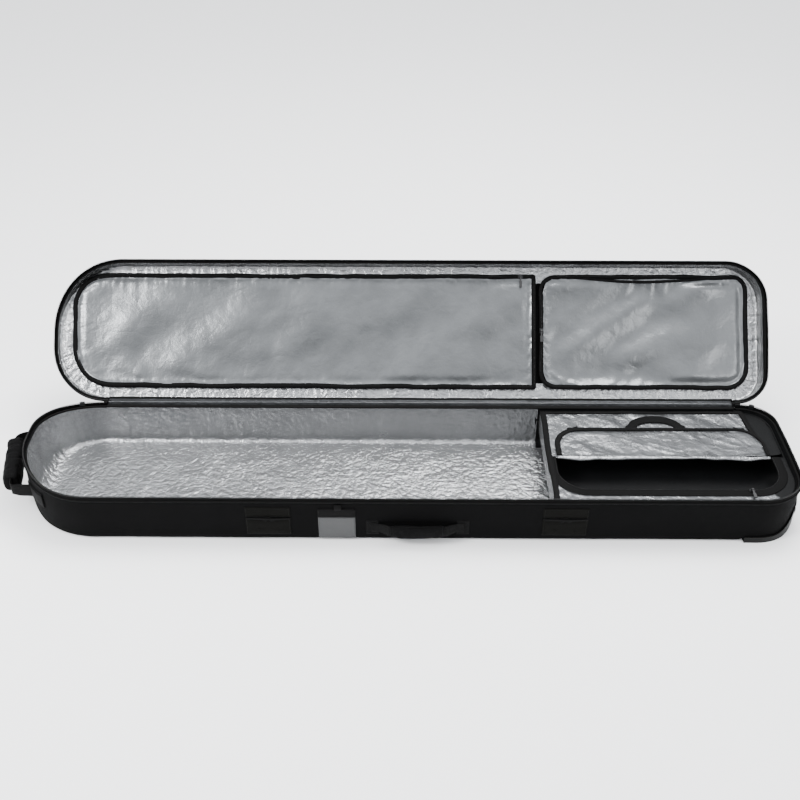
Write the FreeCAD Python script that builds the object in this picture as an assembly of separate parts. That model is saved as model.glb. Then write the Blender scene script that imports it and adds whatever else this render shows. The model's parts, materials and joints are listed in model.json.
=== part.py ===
"""Wheeled snowboard and ski bag, lid open. Millimetres.

The origin is the middle of the flat underside. +X runs to the wheel end (tail), -X to the nose,
+Y to the hinge side (rear) and +Z up. The lid is drawn closed and then turned open by OPEN_DEG.
"""
import os
from math import cos, radians, sin, sqrt

import FreeCAD
import Part

V = FreeCAD.Vector

# ---- overall sizes
LENGTH = 1900.0            # nose to tail, fabric
WIDTH = 380.0              # front to hinge side
RIM = 134.0                # height of the zip line above the floor
LID_DEPTH = 62.0           # lid thickness above the zip line
LID_TOP = 6.0              # padded top panel of the lid
LID_EDGE_R = 30.0          # side view, where the lid's ends meet its top
NOSE_RISE = 28.0           # how far the zip line climbs at the nose
RISE_LENGTH = 150.0        # length over which it climbs
WALL = 7.0                 # padded wall
FLOOR = 8.0                # padded bottom panel
SKIN = 1.0                 # lining
ZIP = 12.0                 # visible height of one zipper half
GAP = 2.0                  # between the two zipper halves when closed
OPEN_DEG = 130.0           # lid opening as modelled

# ---- plan outline: corner radii
R_FRONT_NOSE = 190.0
R_REAR_NOSE = 150.0
R_FRONT_TAIL = 105.0
R_REAR_TAIL = 78.0
R_NOSE_BOTTOM = 70.0       # side view, nose end
R_TAIL_BOTTOM = 45.0       # side view, wheel end

# ---- hinge
HINGE_Y = WIDTH / 2 + 1.0
HINGE_X0, HINGE_X1 = -792.0, 862.0
PIPING_R = 2.0

# ---- wheel tray and wheels
TRAY = 3.5                 # moulded plastic thickness
TRAY_X = 812.0             # front edge of the tray
TRAY_TOP = 70.0
FLANGE = 17.0              # height of the tray's low side flange
CHEEK_X0, CHEEK_X1 = 880.0, 936.0    # where the flange climbs to the end wall
WELL_TOP = 120.0           # above the wheel wells
WHEEL_R, WHEEL_W = 35.0, 26.0
WHEEL_X, WHEEL_Z, WHEEL_Y = 918.0, 36.0, 105.0
HUB_R, BEARING_R, BEARING_W, AXLE_R = 24.0, 11.0, 7.0, 4.0
HEAD_T = 1.5               # axle heads
SPOKES = 5
WELL_R, WELL_WALL, WELL_HALF = 38.5, 2.5, 16.0

# ---- boot compartment
BOOT_X0 = 352.0            # its nose-side wall
BOOT_Z0, BOOT_Z1 = 50.0, 115.0
BOOT_WALL = 3.0
FOLD_Y = -12.0             # line where the flap folds back
FRONT_EDGE = -130.0        # front edge of the D opening
D_X0, D_X1 = 370.0, 906.0
D_R = 70.0
D_TAPE = 10.0              # zip tape round the opening
FLAP_T = 2.5

half_l, half_w = LENGTH / 2, WIDTH / 2
closed_top = RIM + LID_DEPTH


# ---- small helpers
def line(a, b):
    return Part.LineSegment(V(*a), V(*b)).toShape()


def arc(a, m, b):
    return Part.Arc(V(*a), V(*m), V(*b)).toShape()


def box(x0, x1, y0, y1, z0, z1):
    return Part.makeBox(x1 - x0, y1 - y0, z1 - z0, V(x0, y0, z0))


def rod(r, length, start, axis):
    return Part.makeCylinder(r, length, V(*start), V(*axis))


def solid_of(edges, direction):
    return Part.Face(Part.Wire(edges)).extrude(V(*direction))


def rounded_rect(x0, x1, y0, y1, radii, z0, z1):
    """A plate with its own radius at each corner, in the order x0y0, x1y0, x1y1, x0y1."""
    r = list(radii)
    corners = [(x0 + r[0], y0 + r[0], 180.0), (x1 - r[1], y0 + r[1], 270.0),
               (x1 - r[2], y1 - r[2], 0.0), (x0 + r[3], y1 - r[3], 90.0)]
    edges, ends = [], []
    for (cx, cy, start), radius in zip(corners, r):
        pts = [(cx + radius * cos(radians(start + t)), cy + radius * sin(radians(start + t)), z0)
               for t in (0, 45, 90)]
        ends.append((pts[0], pts[2]))
        edges.append(arc(*pts) if radius > 0 else None)
    loop = []
    for i in range(4):
        if edges[i] is not None:
            loop.append(edges[i])
        a, b = ends[i][1], ends[(i + 1) % 4][0]
        if (V(*a) - V(*b)).Length > 1e-6:
            loop.append(line(a, b))
    return solid_of(loop, (0, 0, z1 - z0))


def bag_plan(grow, z0, z1):
    """The bag's plan outline, grown outwards, as a solid between two heights."""
    radii = [r + grow for r in (R_FRONT_NOSE, R_FRONT_TAIL, R_REAR_TAIL, R_REAR_NOSE)]
    return rounded_rect(-half_l - grow, half_l + grow, -half_w - grow, half_w + grow, radii, z0, z1)


def rim_band(low, high):
    """Everything between two heights measured from the zip line, which climbs at the nose."""
    radius = (RISE_LENGTH ** 2 + NOSE_RISE ** 2) / (2 * NOSE_RISE)
    x_start = -half_l + RISE_LENGTH
    reach = RISE_LENGTH + 30.0

    def rise(dx):
        return radius - sqrt(radius ** 2 - dx ** 2)

    def edge(offset):
        z = RIM + offset
        far, mid = reach, reach / 2
        return ((x_start - far, -400, z + rise(far)), (x_start - mid, -400, z + rise(mid)),
                (x_start, -400, z), (half_l + 60, -400, z))

    a, b = edge(low), edge(high)
    loop = [arc(a[0], a[1], a[2]), line(a[2], a[3]), line(a[3], b[3]), line(b[3], b[2]),
            arc(b[2], b[1], b[0]), line(b[0], a[0])]
    return solid_of(loop, (0, 800, 0))


def side_profile(inset, floor_nose, floor_tail, top=400.0):
    """Side view of the tub with rounded bottom corners, as a wide prism."""
    x0, x1 = -half_l + inset, half_l - inset
    rn = R_NOSE_BOTTOM - floor_nose
    rt = R_TAIL_BOTTOM + TRAY - floor_tail
    k = cos(radians(45))
    y = -400.0
    cn, ct = (x0 + rn, floor_nose + rn), (x1 - rt, floor_tail + rt)
    pts = [(x0, y, top), (x0, y, cn[1])]
    loop = [line(*pts), arc((x0, y, cn[1]), (cn[0] - rn * k, y, cn[1] - rn * k), (cn[0], y, floor_nose))]
    if floor_nose == floor_tail:
        loop.append(line((cn[0], y, floor_nose), (ct[0], y, floor_tail)))
    else:
        loop += [line((cn[0], y, floor_nose), (TRAY_X, y, floor_nose)),
                 line((TRAY_X, y, floor_nose), (TRAY_X, y, floor_tail)),
                 line((TRAY_X, y, floor_tail), (ct[0], y, floor_tail))]
    loop += [arc((ct[0], y, floor_tail), (ct[0] + rt * k, y, ct[1] - rt * k), (x1, y, ct[1])),
             line((x1, y, ct[1]), (x1, y, top)), line((x1, y, top), (x0, y, top))]
    return solid_of(loop, (0, 800, 0))


def tub_solid(inset, floor_nose, floor_tail):
    """The filled tub up to well above the zip line, inset from the outside."""
    return bag_plan(-inset, -5, 300).common(side_profile(inset, floor_nose, floor_tail))


def put(name, *solids):
    """Writes one node: one or more separate closed solids."""
    found = [s for shape in solids for s in shape.Solids]
    shape = found[0] if len(found) == 1 else Part.makeCompound(found)
    shape.exportStep("parts/" + name + ".step")


def opened(shape):
    """Turns a lid piece from closed to the modelled opening."""
    turned = shape.copy()
    turned.rotate(V(0, HINGE_Y, RIM), V(-1, 0, 0), OPEN_DEG)
    return turned


def as_is(shape):
    return shape


def split_walls(ring):
    """Cuts a wall ring into its sewn panels: front, rear, nose and tail."""
    nose_x, tail_x = -690.0, 848.0
    big = 1200.0
    return {
        "front_wall": ring.common(box(nose_x, tail_x, -400, 0, -10, 400)),
        "rear_wall": ring.common(box(nose_x, tail_x, 0, 400, -10, 400)),
        "nose_wall": ring.common(box(-big, nose_x, -400, 400, -10, 400)),
        "tail_wall": ring.common(box(tail_x, big, -400, 400, -10, 400)),
    }


# ---- wheel wells, used as cutters and as part of the tray
def well(grow, side):
    radius, half = WELL_R + grow, WELL_HALF + grow
    return rod(radius, 2 * half, (WHEEL_X, side * WHEEL_Y - half, WHEEL_Z), (0, 1, 0))


def cut_wells(shape, grow):
    for side in (-1, 1):
        shape = shape.cut(well(grow, side))
    return shape


# ---- base
def make_base():
    outer = tub_solid(0, 0, TRAY)
    inner = tub_solid(WALL, FLOOR, FLOOR)
    lined = tub_solid(WALL + SKIN, FLOOR + SKIN, FLOOR + SKIN)
    shell = cut_wells(outer.cut(inner), WELL_WALL)
    put("base_bottom_panel", shell.common(box(-1200, 1200, -400, 400, -10, FLOOR)))
    walls = shell.common(rim_band(-300, -ZIP)).common(box(-1200, 1200, -400, 400, FLOOR, 400))
    for name, piece in split_walls(walls).items():
        put("base_" + name, piece)
    lining = cut_wells(inner.cut(lined), WELL_WALL).common(rim_band(-300, -ZIP))
    put("base_lining", lining)


def zipper_half(low, high, bead_low, bead_high):
    """A tape and its coil round three sides, leaving the hinge clear."""
    hinge = box(HINGE_X0, HINGE_X1, 100, 400, -10, 400)
    tape = bag_plan(-1.5, -5, 300).cut(bag_plan(-3.5, -5, 300)).common(rim_band(low, high)).cut(hinge)
    coil = bag_plan(-1.0, -5, 300).cut(bag_plan(-4.0, -5, 300)).common(rim_band(bead_low, bead_high))
    return tape, coil.cut(hinge)


def make_hinge():
    span = HINGE_X1 - HINGE_X0 - 4
    x0 = HINGE_X0 + 2
    strip = box(x0, x0 + span, half_w - 4, half_w - 0.5, RIM - ZIP, RIM)
    put("hinge_gusset", strip.fuse(rod(PIPING_R, span, (x0, HINGE_Y, RIM), (1, 0, 0))))
    lid_strip = box(x0, x0 + span, half_w - 4, half_w - 1, RIM + 3.5, RIM + GAP + ZIP)
    put("lid_hinge_strip", opened(lid_strip))


# ---- wheel tray, wheels and axles
def make_tray():
    k = cos(radians(45))
    r = R_TAIL_BOTTOM + TRAY
    cx, cz, y = half_l - R_TAIL_BOTTOM, r, -400.0
    end = half_l + TRAY

    def profile(top_edges):
        loop = [line((TRAY_X, y, 0), (cx, y, 0)),
                arc((cx, y, 0), (cx + r * k, y, cz - r * k), (end, y, cz))]
        return solid_of(loop + top_edges, (0, 800, 0))

    flange_edges = [line((end, y, cz), (end, y, TRAY_TOP)),
                    line((end, y, TRAY_TOP), (CHEEK_X1, y, TRAY_TOP)),
                    arc((CHEEK_X1, y, TRAY_TOP), (CHEEK_X1 - 14, y, 2 * FLANGE), (CHEEK_X0, y, FLANGE)),
                    line((CHEEK_X0, y, FLANGE), (TRAY_X, y, FLANGE)),
                    line((TRAY_X, y, FLANGE), (TRAY_X, y, 0))]
    tall_edges = [line((end, y, cz), (end, y, WELL_TOP)),
                  line((end, y, WELL_TOP), (TRAY_X, y, WELL_TOP)),
                  line((TRAY_X, y, WELL_TOP), (TRAY_X, y, 0))]
    plan = bag_plan(TRAY, -5, 300)
    tray = plan.common(profile(flange_edges)).cut(tub_solid(0, 0, TRAY))
    bounds = plan.common(profile(tall_edges))
    for side in (-1, 1):
        tray = tray.fuse(well(WELL_WALL, side).common(bounds))
    for side in (-1, 1):
        tray = tray.cut(well(0, side))
        tray = tray.cut(rod(AXLE_R + 0.1, 60, (WHEEL_X, side * WHEEL_Y - 30, WHEEL_Z), (0, 1, 0)))
    put("wheel_tray", tray.removeSplitter())

    axles, reach = [], WELL_HALF + WELL_WALL
    for side in (-1, 1):
        y0 = side * WHEEL_Y - reach
        pin = rod(AXLE_R, 2 * reach, (WHEEL_X, y0, WHEEL_Z), (0, 1, 0))
        for head_y in (y0 - HEAD_T, y0 + 2 * reach):
            pin = pin.fuse(rod(AXLE_R + 2.5, HEAD_T, (WHEEL_X, head_y, WHEEL_Z), (0, 1, 0)))
        axles.append(pin.removeSplitter())
    put("wheel_axles", *axles)

    rivets = [rod(4.5, 1.6, (end, dy, 60), (1, 0, 0)) for dy in (-70, -25, 25, 70)]
    put("tray_rivets", *rivets)


def make_wheels():
    for name, side in (("front", -1), ("rear", 1)):
        y0 = side * WHEEL_Y - WHEEL_W / 2

        def ring(r1, r0, width, inset):
            start = (WHEEL_X, y0 + inset, WHEEL_Z)
            return rod(r1, width, start, (0, 1, 0)).cut(rod(r0, width, start, (0, 1, 0)))

        tyre = ring(WHEEL_R, HUB_R + 0.02, WHEEL_W, 0)
        rims = [e for e in tyre.Edges if abs(e.Length - 2 * 3.14159265 * WHEEL_R) < 1]
        put("wheel_tyre_" + name, tyre.makeFillet(4.0, rims))
        hub = ring(HUB_R, BEARING_R + 0.02, WHEEL_W - 4, 2)
        for spoke in range(SPOKES):
            hole = rod(3.2, WHEEL_W, (WHEEL_X + 17.5, y0, WHEEL_Z), (0, 1, 0))
            hole.rotate(V(WHEEL_X, 0, WHEEL_Z), V(0, 1, 0), 360 / SPOKES * spoke)
            hub = hub.cut(hole)
        put("wheel_hub_" + name, hub)
        put("wheel_bearings_" + name, ring(BEARING_R, AXLE_R + 0.05, BEARING_W, 2),
            ring(BEARING_R, AXLE_R + 0.05, BEARING_W, WHEEL_W - 2 - BEARING_W))


# ---- lid, drawn closed
def make_lid():
    z_in = closed_top - LID_TOP

    def profile(inset, top):
        x0, x1, y, z0 = -half_l + inset, half_l - inset, -400.0, 60.0
        r = LID_EDGE_R - inset / 2
        kk = r * (1 - cos(radians(45)))
        loop = [line((x0, y, z0), (x0, y, top - r)),
                arc((x0, y, top - r), (x0 + kk, y, top - kk), (x0 + r, y, top)),
                line((x0 + r, y, top), (x1 - r, y, top)),
                arc((x1 - r, y, top), (x1 - kk, y, top - kk), (x1, y, top - r)),
                line((x1, y, top - r), (x1, y, z0)), line((x1, y, z0), (x0, y, z0))]
        return solid_of(loop, (0, 800, 0))

    outer = bag_plan(0, 60, 400).common(profile(0, closed_top))
    inner = bag_plan(-WALL, 60, 400).common(profile(WALL, z_in))
    lined = bag_plan(-WALL - SKIN, 60, 400).common(profile(WALL + SKIN, z_in - SKIN))
    above = rim_band(GAP + ZIP, 300)
    shell = outer.cut(inner).common(above)
    put("lid_top_panel", opened(shell.common(box(-1200, 1200, -400, 400, z_in, 400))))
    for name, piece in split_walls(shell.common(box(-1200, 1200, -400, 400, 0, z_in))).items():
        put("lid_" + name, opened(piece))
    put("lid_lining", opened(inner.cut(lined).common(above)))


# ---- lid pockets
POCKET_Z = RIM + 42.0      # zip-line side of the pocket panels, lid closed
PANEL_T = 2.0
LONG_X0, LONG_X1 = -902.0, 343.0
SHORT_X0, SHORT_X1 = 353.0, 912.0
POCKET_Y0, POCKET_Y1 = -158.0, 152.0
POCKET_ZIP = 11.0
GUSSET_T = 1.5
FRAME_JOIN = 0.1           # gap where two sewn lengths of the long pocket's frame meet


def cut_in_lengths(ring, corner_x, corner_y, degrees):
    """Parts a frame at the given angles, seen from the middle of one of its round corners."""
    for angle in degrees:
        blade = box(corner_x, corner_x + 170, corner_y - FRAME_JOIN / 2, corner_y + FRAME_JOIN / 2, 60, 400)
        blade.rotate(V(corner_x, corner_y, 0), V(0, 0, 1), angle)
        ring = ring.cut(blade)
    return ring


def make_pockets():
    def panel(x0, x1, radii, z0, z1, grow=0.0):
        r = [max(a + grow, 1.0) for a in radii]
        return rounded_rect(x0 - grow, x1 + grow, POCKET_Y0 - grow, POCKET_Y1 + grow, r, z0, z1)

    lining_z = closed_top - LID_TOP - SKIN
    for name, x0, x1, radii in (("long", LONG_X0, LONG_X1, (90, 6, 6, 110)),
                                ("short", SHORT_X0, SHORT_X1, (45, 40, 60, 45))):
        body = panel(x0, x1, radii, POCKET_Z, POCKET_Z + PANEL_T, -POCKET_ZIP)
        tape = panel(x0, x1, radii, POCKET_Z - 0.4, POCKET_Z + PANEL_T + 0.4)
        tape = tape.cut(panel(x0, x1, radii, 0, 400, -POCKET_ZIP))
        gusset = panel(x0, x1, radii, POCKET_Z, lining_z).cut(panel(x0, x1, radii, 0, 400, -GUSSET_T))
        frame = tape.fuse(gusset).removeSplitter()
        if name == "long":
            frame = cut_in_lengths(frame, x0 + radii[0], POCKET_Y0 + radii[0], (180, 210, 240, 270))
            frame = cut_in_lengths(frame, x0 + radii[3], POCKET_Y1 - radii[3], (90, 120, 150, 180))
            frame = cut_in_lengths(frame, x1 - 15, 0, (90, 270))
        put("pocket_panel_" + name, opened(body))
        put("pocket_zip_" + name, opened(frame))


# ---- zip sliders: a body on the tape, a bail on the body, and a pull tab whose eye hangs on the bail
BAIL_R, EYE_R, EYE_HOLE = 0.9, 2.6, 1.2    # the eye turns on the bail with 0.3 to spare
BAIL_H = 3.2               # bail axis above the body


def slider_pair(name, face, travel, out, move, wrap=0.0, pull_turn=0.0):
    """face is a point on the tape's outer face; travel runs along the zip and out stands off its face.
    wrap is the depth of the tape that the body reaches round, or 0 for a body that sits on a closed zip.
    The tab hangs across the zip, on the side of out x travel, or along it with a pull_turn of -90 degrees."""
    t, n = V(*travel).normalize(), V(*out).normalize()
    turn = FreeCAD.Rotation(t, n.cross(t), n, "ZXY")
    clear = 0.3

    def placed(shape):
        done = shape.copy()
        done.Placement = FreeCAD.Placement(V(*face), turn).multiply(done.Placement)
        return done

    def block(t0, t1, s0, s1, n0, n1):
        return Part.makeBox(t1 - t0, s1 - s0, n1 - n0, V(t0, s0, n0))

    top = clear + 2.0
    half, low, high = 6.5, -4.5, 4.5
    body = block(-half, half, low, high, clear, top)
    if wrap:
        under = -wrap - 0.8
        body = body.fuse(block(-half, half, low, high, under - 1.8, under))
        body = body.fuse(block(-half, half, low, low + 1.0, under - 1.8, top))
    axis_n = top + BAIL_H
    bail = Part.makeCylinder(BAIL_R, 8.0, V(-4.0, 0, axis_n), V(1, 0, 0))
    for end in (-1, 1):
        t0 = min(end * 2.5, end * 4.3)
        bail = bail.fuse(block(t0, t0 + 1.8, -1.1, 1.1, top - 0.2, axis_n + BAIL_R))
    bail.rotate(V(0, 0, 0), V(0, 0, 1), pull_turn)
    put("slider_" + name, move(placed(body.fuse(bail).removeSplitter())))

    eye = Part.makeCylinder(EYE_R, 3.6, V(-1.8, 0, axis_n), V(1, 0, 0))
    tab = block(-1.8, 1.8, 1.5, 27.0, axis_n - 0.65, axis_n + 0.65)
    grip = block(-3.5, 3.5, 14.0, 30.0, axis_n - 1.3, axis_n + 1.3)
    hole = Part.makeCylinder(EYE_HOLE, 6.0, V(-3.0, 0, axis_n), V(1, 0, 0))
    puller = eye.fuse(tab).fuse(grip).cut(hole)
    puller = puller.removeSplitter()
    puller.rotate(V(0, 0, 0), V(0, 0, 1), pull_turn)
    put("puller_" + name, move(placed(puller)))


def zip_point(corner_x, corner_y, radius, side, degrees):
    """A point on the zip line round a rear corner, degrees past the end of the straight rear side."""
    x = corner_x + side * radius * sin(radians(degrees))
    dx = max(0.0, -half_l + RISE_LENGTH - x)
    bend = (RISE_LENGTH ** 2 + NOSE_RISE ** 2) / (2 * NOSE_RISE)
    return V(x, corner_y + radius * cos(radians(degrees)), RIM + bend - sqrt(bend ** 2 - dx ** 2))


def corner_slider(name, corner_radius, side, parked, reach):
    """A main slider parked just round a rear corner. It swings about the axis of the arc that it follows."""
    radius = corner_radius - 1.0
    cx, cy = side * (half_l - corner_radius), half_w - corner_radius
    a, b, c = [zip_point(cx, cy, radius, side, d) for d in (parked - reach, parked, parked + reach)]
    circle = Part.Circle(a, b, c)
    centre, axis = circle.Center, circle.Axis
    along = axis.cross(b - centre).normalize()
    if along.x > 0:
        along = along * -1
    level = V(b.x - cx, b.y - cy, 0).normalize()
    out = level - along * level.dot(along)
    travel = along * -1
    up = travel.cross(out).normalize()
    slider_pair(name, b - up * 3.0, travel, out, as_is, wrap=3.0)


def make_sliders():
    corner_slider("main_left", R_REAR_NOSE, -1, 22.0, 18.0)
    corner_slider("main_right", R_REAR_TAIL, 1, 24.0, 22.0)
    face = POCKET_Z - 0.4
    inward = (0, 0, -1)
    on_long_zip = (LONG_X1 - 40, POCKET_Y0 + POCKET_ZIP / 2, face)
    slider_pair("pocket_long", on_long_zip, (-1, 0, 0), inward, opened)
    on_short_zip = (SHORT_X0 + POCKET_ZIP / 2, -5.0, face)
    slider_pair("pocket_short", on_short_zip, (0, 1, 0), inward, opened, pull_turn=-90.0)
    on_boot_zip = (D_X1 - D_R - 10, FRONT_EDGE - 5.0, BOOT_Z1 + 0.4)
    slider_pair("boot", on_boot_zip, (-1, 0, 0), (0, 0, 1), as_is)


# ---- boot compartment
def boot_plan(inset, z0, z1):
    """Plan of the compartment: it fills the tail end of the lined tub, behind its own divider wall."""
    room = bag_plan(-WALL - SKIN - inset, z0, z1)
    return room.common(box(BOOT_X0 + inset, 1200, -400, 400, z0, z1))


def make_boot_compartment():
    clear = WELL_WALL + 1.5
    top0 = BOOT_Z1 - BOOT_WALL
    put("boot_floor", cut_wells(boot_plan(0, BOOT_Z0, BOOT_Z0 + BOOT_WALL), clear))
    ring = boot_plan(0, BOOT_Z0 + BOOT_WALL, top0).cut(boot_plan(BOOT_WALL, 0, 300))
    put("boot_wall", cut_wells(ring, clear))
    opening = rounded_rect(D_X0, D_X1, FRONT_EDGE, FOLD_Y, (D_R, D_R, 0, 0), 0, 300)
    put("boot_top_panel", boot_plan(0, top0, BOOT_Z1).cut(opening))
    # tape round the D opening, stitched on the panel
    radius = D_R + D_TAPE
    wide = rounded_rect(D_X0 - D_TAPE, D_X1 + D_TAPE, FRONT_EDGE - D_TAPE, FOLD_Y - 4,
                        (radius, radius, 0, 0), 0, 300)
    tape = wide.cut(opening).common(box(0, 1200, -400, 400, BOOT_Z1, BOOT_Z1 + 0.4))
    put("boot_zip_tape", tape)


def make_flap():
    """The D-shaped front flap, folded back over the rear panel about FOLD_Y."""
    axis_z = BOOT_Z1 + 1.5
    inset = 3.0

    def d_shape(grow, low, high):
        radius = D_R - inset + grow
        plate = rounded_rect(D_X0 + inset - grow, D_X1 - inset + grow,
                             FRONT_EDGE + inset - grow, FOLD_Y - 1.0,
                             (radius, radius, 0, 0), low, high)
        plate.rotate(V(0, FOLD_Y, axis_z), V(1, 0, 0), -180)
        return plate

    z1 = BOOT_Z1
    rim = 9.0
    put("boot_flap", d_shape(-rim, z1 - FLAP_T, z1))
    put("boot_flap_binding", d_shape(0, z1 - FLAP_T, z1).cut(d_shape(-rim, z1 - 50, z1 + 50)))
    # web handle past the middle of the flap's free edge: two legs and a bar of webbing
    y_edge = 2 * FOLD_Y - (FRONT_EDGE + inset) + 1.6
    x_mid, span, web, reach = 640.0, 155.0, 22.0, 46.0
    outside = [(-span / 2, 0), (30 - span / 2, reach), (span / 2 - 30, reach), (span / 2, 0)]
    foot, shoulder = span / 2 - web - 6, span / 2 - 44
    inside = [(foot, 0), (shoulder, reach - web), (-shoulder, reach - web), (-foot, 0)]
    pts = [(x_mid + x, y_edge + y, z1 + 0.4) for x, y in outside + inside]
    handle = solid_of([line(pts[i], pts[(i + 1) % 8]) for i in range(8)], (0, 0, 1.6))
    put("boot_flap_handle", handle)


# ---- carrying handles
HANDLE_X0, HANDLE_X1 = -67.0, 117.0
HANDLE_Z, HANDLE_WEB = 44.0, 40.0
HANDLE_PIVOT = 3.2         # off the wall
HANDLE_REACH = 20.0        # middle of the grip, off the wall
WEB_T = 2.0


def plate_path(centre_line, thickness, z0, z1):
    """An upright band of webbing along a line of plan points, half its thickness to each side."""
    pts = [V(x, y, z0) for x, y in centre_line]
    left, right = [], []
    for i, p in enumerate(pts):
        before = (p - pts[i - 1]).normalize() if i else None
        after = (pts[i + 1] - p).normalize() if i + 1 < len(pts) else None
        along = ((before or after) + (after or before)).normalize()
        normal = V(-along.y, along.x, 0)
        reach = thickness / 2 / normal.dot(V(-(after or before).y, (after or before).x, 0))
        left.append(p + normal * reach)
        right.append(p - normal * reach)
    loop = left + right[::-1]
    edges = [line(tuple(loop[i]), tuple(loop[(i + 1) % len(loop)])) for i in range(len(loop))]
    return solid_of(edges, (0, 0, z1 - z0))


def bar(section_u, section_v, radius, start, end):
    """A padded bar with a rounded section, u level and v upright, between two points at one height."""
    a, b = V(*start), V(*end)
    along = (b - a).normalize()
    up = V(0, 0, 1)
    shape = rounded_rect(-section_u / 2, section_u / 2, -section_v / 2, section_v / 2, [radius] * 4,
                         0, (b - a).Length)
    shape.Placement = FreeCAD.Placement(a, FreeCAD.Rotation(up.cross(along), up, along, "ZYX"))
    return shape


def make_front_handle():
    face = -half_w
    z0, z1 = HANDLE_Z - HANDLE_WEB / 2, HANDLE_Z + HANDLE_WEB / 2
    anchors = [box(x0, x0 + 31, face - 1.6, face, z0 - 3, z1 + 1) for x0 in (HANDLE_X0 - 32, HANDLE_X1 + 1)]
    put("front_handle_anchors", *anchors)
    pivot, out = face - HANDLE_PIVOT, face - HANDLE_REACH
    x0, x1 = HANDLE_X0, HANDLE_X1
    strap = plate_path([(x0, pivot), (x0 + 24, out), (x1 - 24, out), (x1, pivot)], WEB_T, z0, z1)
    # the webbing gathers where it leaves its anchors, which lets the handle swing
    tip, half = 4.0, HANDLE_WEB / 2
    corners = [(1, -tip), (14, -half), (40, -half), (40, half), (14, half), (1, tip)]
    pts = [(x0 - 5, face - off, HANDLE_Z + rise) for off, rise in corners]
    wedge = solid_of([line(pts[i], pts[(i + 1) % 6]) for i in range(6)], (x1 - x0 + 10, 0, 0))
    strap = strap.common(wedge)
    grip = bar(24, 44, 11, (x0 + 27, out, HANDLE_Z), (x1 - 27, out, HANDLE_Z))
    put("front_handle_webbing", strap)
    put("front_handle_grip", grip.cut(strap))


HAUL_Z = 86.0
HAUL_WEB, HAUL_WEB_T = 38.0, 2.5
HAUL_PIVOT_X = -962.0
SLEEVE_FRONT = (-972.0, -88.0)
SLEEVE_REAR = (-1006.0, 70.0)
HAUL_TIP = 1.0             # half height of the webbing at the pivot


def haul_fan(side):
    """Keeps the webbing inside a fan that starts at the pivot line, on one side of it."""
    half = HAUL_WEB / 2
    x0, x1, x2 = HAUL_PIVOT_X + side * 1.2, HAUL_PIVOT_X + side * 14.0, HAUL_PIVOT_X + side * 120.0
    corners = [(x0, HAUL_TIP), (x1, half), (x2, half), (x2, -half), (x1, -half), (x0, -HAUL_TIP)]
    pts = [(x, -300, HAUL_Z + z) for x, z in corners]
    return solid_of([line(pts[i], pts[(i + 1) % 6]) for i in range(6)], (0, 600, 0))


def make_haul_handle():
    z0, z1 = HAUL_Z - HAUL_WEB / 2, HAUL_Z + HAUL_WEB / 2
    front_wall, rear_wall = (-914.0, -111.0), (-939.0, 96.0)
    loop = [(HAUL_PIVOT_X, -109.0), (-968.0, -103.0), SLEEVE_FRONT,
            SLEEVE_REAR, (-999.0, 88.0), (HAUL_PIVOT_X, 98.0)]
    strap = plate_path(loop, HAUL_WEB_T, z0, z1).common(haul_fan(-1))
    sleeve = bar(34, 46, 15, (*SLEEVE_FRONT, HAUL_Z), (*SLEEVE_REAR, HAUL_Z))
    put("haul_handle_webbing", strap)
    put("haul_handle_sleeve", sleeve.cut(strap))

    patches = bag_plan(1.6, z0 - 3, z1 + 3).cut(bag_plan(0, 0, 300))
    tabs = []
    for wall_end, pivot_y, y0, y1 in ((front_wall, -109.0, -152, -96), (rear_wall, 98.0, 84, 140)):
        stub = plate_path([wall_end, (HAUL_PIVOT_X, pivot_y)], HAUL_WEB_T, z0, z1).common(haul_fan(1))
        patch = patches.common(box(-1000, -800, y0, y1, 0, 300))
        tabs.append(patch.fuse(stub.cut(bag_plan(0, 0, 300))).removeSplitter())
    put("haul_anchor_tabs", *tabs)


# ---- patches on the front wall
POUCH_W, POUCH_Z0, POUCH_SLIT, POUCH_Z1 = 108.0, 19.0, 71.0, 105.0


def make_front_patches():
    face = -half_w
    straps = []
    for name, x0 in (("left", -386.0), ("right", 323.0)):
        x1, z0, slit = x0 + POUCH_W, POUCH_Z0, POUCH_SLIT
        pouch = box(x0, x1, face - 4.7, face, z0, slit)
        pouch = pouch.cut(box(x0 + 4, x1 - 4, face - 3.5, face, z0 + 4, slit + 5))
        flap = box(x0, x1, face - 1.4, face, slit + 4, POUCH_Z1)
        put("strap_pocket_" + name, pouch, flap)
        straps.append(box(x0 + 30, x1 - 30, face - 3.1, face - 0.4, z0 + 6, slit - 2))
    put("compression_straps", *straps)
    put("label_patch", box(-213, -124, face - 1.2, face, 8, 73))
    put("label_band", box(-213, -124, face - 2.0, face, 74, 100))
    loop = box(-174, -156, face - 4.4, face, 101, 114)
    put("label_loop", loop.cut(box(-180, -150, face - 3.2, face - 1.2, 102.5, 112.5)))


def main():
    os.makedirs("parts", exist_ok=True)
    make_base()
    put("base_zipper_half", *zipper_half(-ZIP, -3.0, -3.0, 0.0))
    tape, coil = zipper_half(GAP + 3.0, GAP + ZIP, GAP, GAP + 3.0)
    put("lid_zipper_half", opened(tape), opened(coil))
    make_hinge()
    make_tray()
    make_wheels()
    make_lid()
    make_pockets()
    make_sliders()
    make_boot_compartment()
    make_flap()
    make_front_handle()
    make_haul_handle()
    make_front_patches()


main()
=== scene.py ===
import json
from math import cos, pi, radians, sin

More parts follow.
